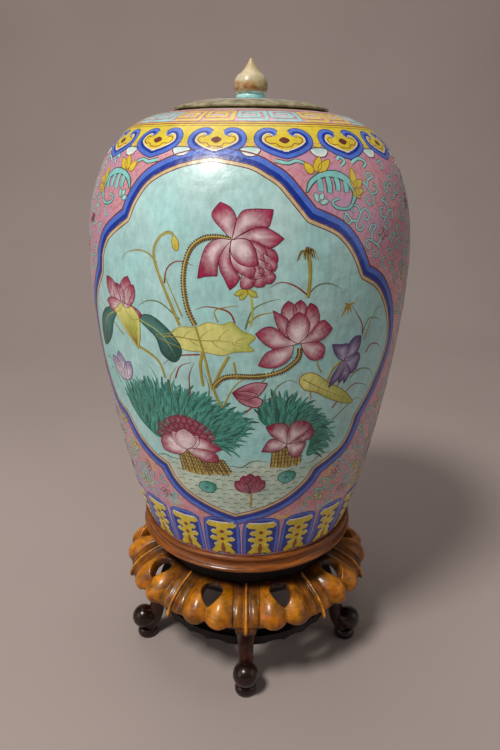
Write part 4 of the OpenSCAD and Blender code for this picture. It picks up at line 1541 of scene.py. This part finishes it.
LEG_STATIONS = (
    (8, 86.5, 95.5, 6.8), (12, 83.5, 95, 6.6), (17, 80.5, 94, 6.3), (26, 78, 91, 6.1), (34, 77.6, 89.6, 6.3),
    (42, 79, 89.2, 6.9), (49, 81, 91, 7.6), (55, 82.5, 95, 8.2), (60, 84, 100, 8.8), (64, 85, 103, 9.2),
    (69, 85.5, 102, 9.4), (75, 85, 97, 9.5), (80, 83, 92, 9.4), (84, 80, 86, 9.0),
)


def leg_mesh(number):
    """A leg: the carved knee with its ridge, and the shank that curves in to the foot."""
    solid = Solid()
    carved_strip(solid, lambda s: knee_edge(s, -1), lambda s: knee_edge(s, 1), columns=24)
    rib_ridge(solid, 0)
    sections = [spline(list(LEG_STATIONS), 4)[i] for i in range(0, 4 * (len(LEG_STATIONS) - 1) + 1)]
    rows = []
    for height, inner, outer, half in sections:
        middle, deep = 0.5 * (inner + outer), 0.5 * (outer - inner)
        row = []
        for k in range(24):
            around = 2 * math.pi * k / 24
            c, s = math.cos(around), math.sin(around)
            square = 1 / max(abs(c), abs(s)) ** 0.45
            row.append((half * s * square * MM, -(middle + deep * c * square) * MM, height * MM))
        rows.append(row)
    solid.grid(rows)
    return solid.make(f"leg_carving_{number}", 0.55, 5)


# HONEY_HIGHLIGHT is the colour of the carving's painted highlight. UMBER is the wood's dark colour and also its painted
# shade.
GOLDEN = rgb(166, 102, 8)
HONEY_HIGHLIGHT = rgb(208, 138, 34)
UMBER = rgb(58, 26, 8)
PLUM = rgb(60, 29, 22)


def stain(mesh, leg):
    """Wood colour by place, with painted light and shade: golden on the lobes, a painted honey highlight along the
    ribs' ridges and on the lobes' crowns, painted shade darkening the channels and the carving's back, and darker
    towards the collar, where it is the collar's painted shadow along with dirt. The legs run to plum below the knee.
    """
    colours = []
    for vertex in mesh.vertices:
        x, y, z = vertex.co
        radius = math.hypot(x, y)
        angle = math.degrees(math.atan2(y, x)) - FRONT
        t = min((abs(apron_line(k / 24)[0] - radius) + abs(apron_line(k / 24)[1] - z), k / 24) for k in range(25))[1]
        r, line_z, out_r, out_z = apron_line(t)
        proud = ((radius - r) * out_r + (z - line_z) * out_z) / MM
        # Painted shade: umber fills the recessed channels, and the top of the apron beside the collar is darkened as
        # the collar's painted shadow and dirt.
        colour = mixed(UMBER, GOLDEN, (0.36 + 0.64 * eased(proud, -0.4, 2.6)) * eased(t, 0.0, 0.42))
        # Painted highlight: honey along each rib's ridge and on the most proud crowns of the lobes.
        ridge = eased(1.15 - from_rib(angle) * 0.9, 0, 0.5) * eased(proud, 1.0, 1.8)
        colour = mixed(colour, HONEY_HIGHLIGHT, max(0.8 * ridge, 0.35 * eased(proud, 3.6, 5.4)))
        if leg:
            colour = mixed(PLUM, colour, eased(z / MM + 2 * ridge, 61, 68))
        # Painted shade: umber on the back of the carving, above 66 mm.
        colours += mixed(colour, UMBER, eased(-proud, 2.0, 4.0) if z > 0.066 else 0.0)
    mesh.color_attributes.new("paint", "FLOAT_COLOR", "POINT").data.foreach_set("color", colours)


def turned_about(mesh, angle, name):
    copy = mesh.copy()
    copy.name = name
    copy.transform(Matrix.Rotation(math.radians(angle), 4, "Z"))
    return copy


def make_stand(golden):
    apron = apron_mesh(1)
    stain(apron, leg=False)
    leg = leg_mesh(1)
    stain(leg, leg=True)
    for number in range(5):
        turn = 2 * UNIT * number
        name = f"apron_carving_{number + 1}"
        piece = new_piece(name, turned_about(apron, turn, name), "stand", [golden])
        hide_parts(f"apron_{number + 1}")
        name = f"leg_carving_{number + 1}"
        piece = new_piece(name, turned_about(leg, turn, name), "stand", [golden])
        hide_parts(f"leg_{number + 1}")


# The room and the camera


def make_stage():
    """A plain pale floor that sweeps up behind the jar."""
    depth = [(-2.5, 0.0), (0.8, 0.0)]
    for k in range(1, 13):
        turn = 0.5 * math.pi * k / 12
        depth.append((0.8 + 0.8 * math.sin(turn), 0.8 - 0.8 * math.cos(turn)))
    depth.append((1.6, 4.0))
    points = [(side * 4.0, y, z) for y, z in depth for side in (-1, 1)]
    faces = [[2 * i, 2 * i + 1, 2 * i + 3, 2 * i + 2] for i in range(len(depth) - 1)]
    mesh = bpy.data.meshes.new("floor_sweep")
    mesh.from_pydata(points, [], faces)
    look = Shader("studio_paper", Roughness=0.9)
    look.colour(look.ramp(look.noise(3, 2), [(0.3, rgb(164, 150, 145)), (0.7, rgb(170, 156, 151))]))
    mesh.materials.append(look.material)
    mesh.shade_smooth()
    floor = bpy.data.objects.new("floor_sweep", mesh)
    bpy.context.scene.collection.objects.link(floor)


def add_light(name, place, size, power, tint):
    light = bpy.data.lights.new(name, "AREA")
    light.shape = "DISK"
    light.size = size
    light.energy = power
    light.color = tint
    lamp = bpy.data.objects.new(name, light)
    lamp.location = place
    lamp.rotation_euler = (Vector(place) - Vector((0, 0, 0.22))).to_track_quat("Z", "Y").to_euler()
    bpy.context.scene.collection.objects.link(lamp)


def make_lights():
    add_light("key", (-0.75, -0.95, 1.95), 0.45, 34, (1.0, 0.97, 0.92))
    add_light("fill", (1.7, -0.45, 0.9), 1.4, 2.6, (1.0, 0.96, 0.92))
    add_light("side", (-1.6, -0.9, 0.7), 1.2, 4.5, (1.0, 0.98, 0.95))
    add_light("top", (-0.2, 0.5, 1.8), 1.2, 6, (1.0, 0.98, 0.96))
    world = bpy.data.worlds.new("studio")
    world.use_nodes = True
    world.node_tree.nodes["Background"].inputs["Color"].default_value = (1.0, 0.96, 0.93, 1.0)
    world.node_tree.nodes["Background"].inputs["Strength"].default_value = 0.14
    bpy.context.scene.world = world
    bpy.context.scene.view_settings.view_transform = "Standard"


def make_camera():
    data = bpy.data.cameras.new("camera")
    data.lens = 30.07
    data.clip_start = 0.01
    camera = bpy.data.objects.new("camera", data)
    camera.location = (0.0003, -0.489, 0.4098)
    camera.rotation_euler = (math.radians(70.68), 0.0, math.radians(-0.13))
    camera.rotation_euler.rotate_axis("Z", math.radians(0.57))
    bpy.context.scene.collection.objects.link(camera)
    bpy.context.scene.camera = camera


# Assembly

enamel = enamel_material()
biscuit = biscuit_material()
golden_wood = wood_material("golden_wood", GOLDEN, UMBER, painted=True)
collar_wood = wood_material("collar_wood", rgb(156, 88, 34), rgb(104, 54, 16), gloss=0.3)
dark_wood = wood_material("dark_wood", rgb(44, 20, 14), rgb(24, 11, 8), gloss=0.22)
# shade_wood is painted shade: near-black wood for the seat board, waist ring, stretcher ring and dowels, standing in
# for the shadow under the collar and inside the stand.
shade_wood = wood_material("shade_wood", rgb(20, 10, 7), rgb(10, 5, 4), gloss=0.55, coat=0.04)

jar_outline = spline(outer_outline("jar_body"), 5)
jar_chart = Chart(jar_outline, start=-1.3)

make_jar(jar_outline, white_glaze_material(), rose_ground_material(), biscuit)

cover_chart = Chart(spline([p for p in outer_outline("cover_disc") if p[1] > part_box("jar_body")[1].z + 1.6 * MM], 3))

for painting, chart, body, slot, behind in (
    (PANEL_PAINTING, jar_chart, "jar", "painted_porcelain", True),
    (BAND_PAINTING, jar_chart, "jar", "painted_porcelain", False),
    ({"cover": [paint_cover]}, cover_chart, "cover", "cover_porcelain", False),
):
    for part, painters in painting.items():
        coat = Enamel("enamel_" + part, chart)
        for painter in painters:
            painter(coat)
        if behind:
            coat.repeat_behind()
        coat.make(enamel, body, slot)

make_stand(golden_wood)
dress("cover_disc", cover_material())
dress("cover_finial", finial_material())
dress("stand_collar", collar_wood)
# Painted shade: these parts in the stand's shadow get the near-black shade_wood.
for node in ["seat_board", "waist_ring", "stretcher_ring", "leg_dowels"]:
    dress(node, shade_wood)
for number in range(1, 6):
    dress(f"ball_toe_{number}", dark_wood)
    dress(f"foot_pad_{number}", dark_wood)

make_stage()
make_lights()
make_camera()
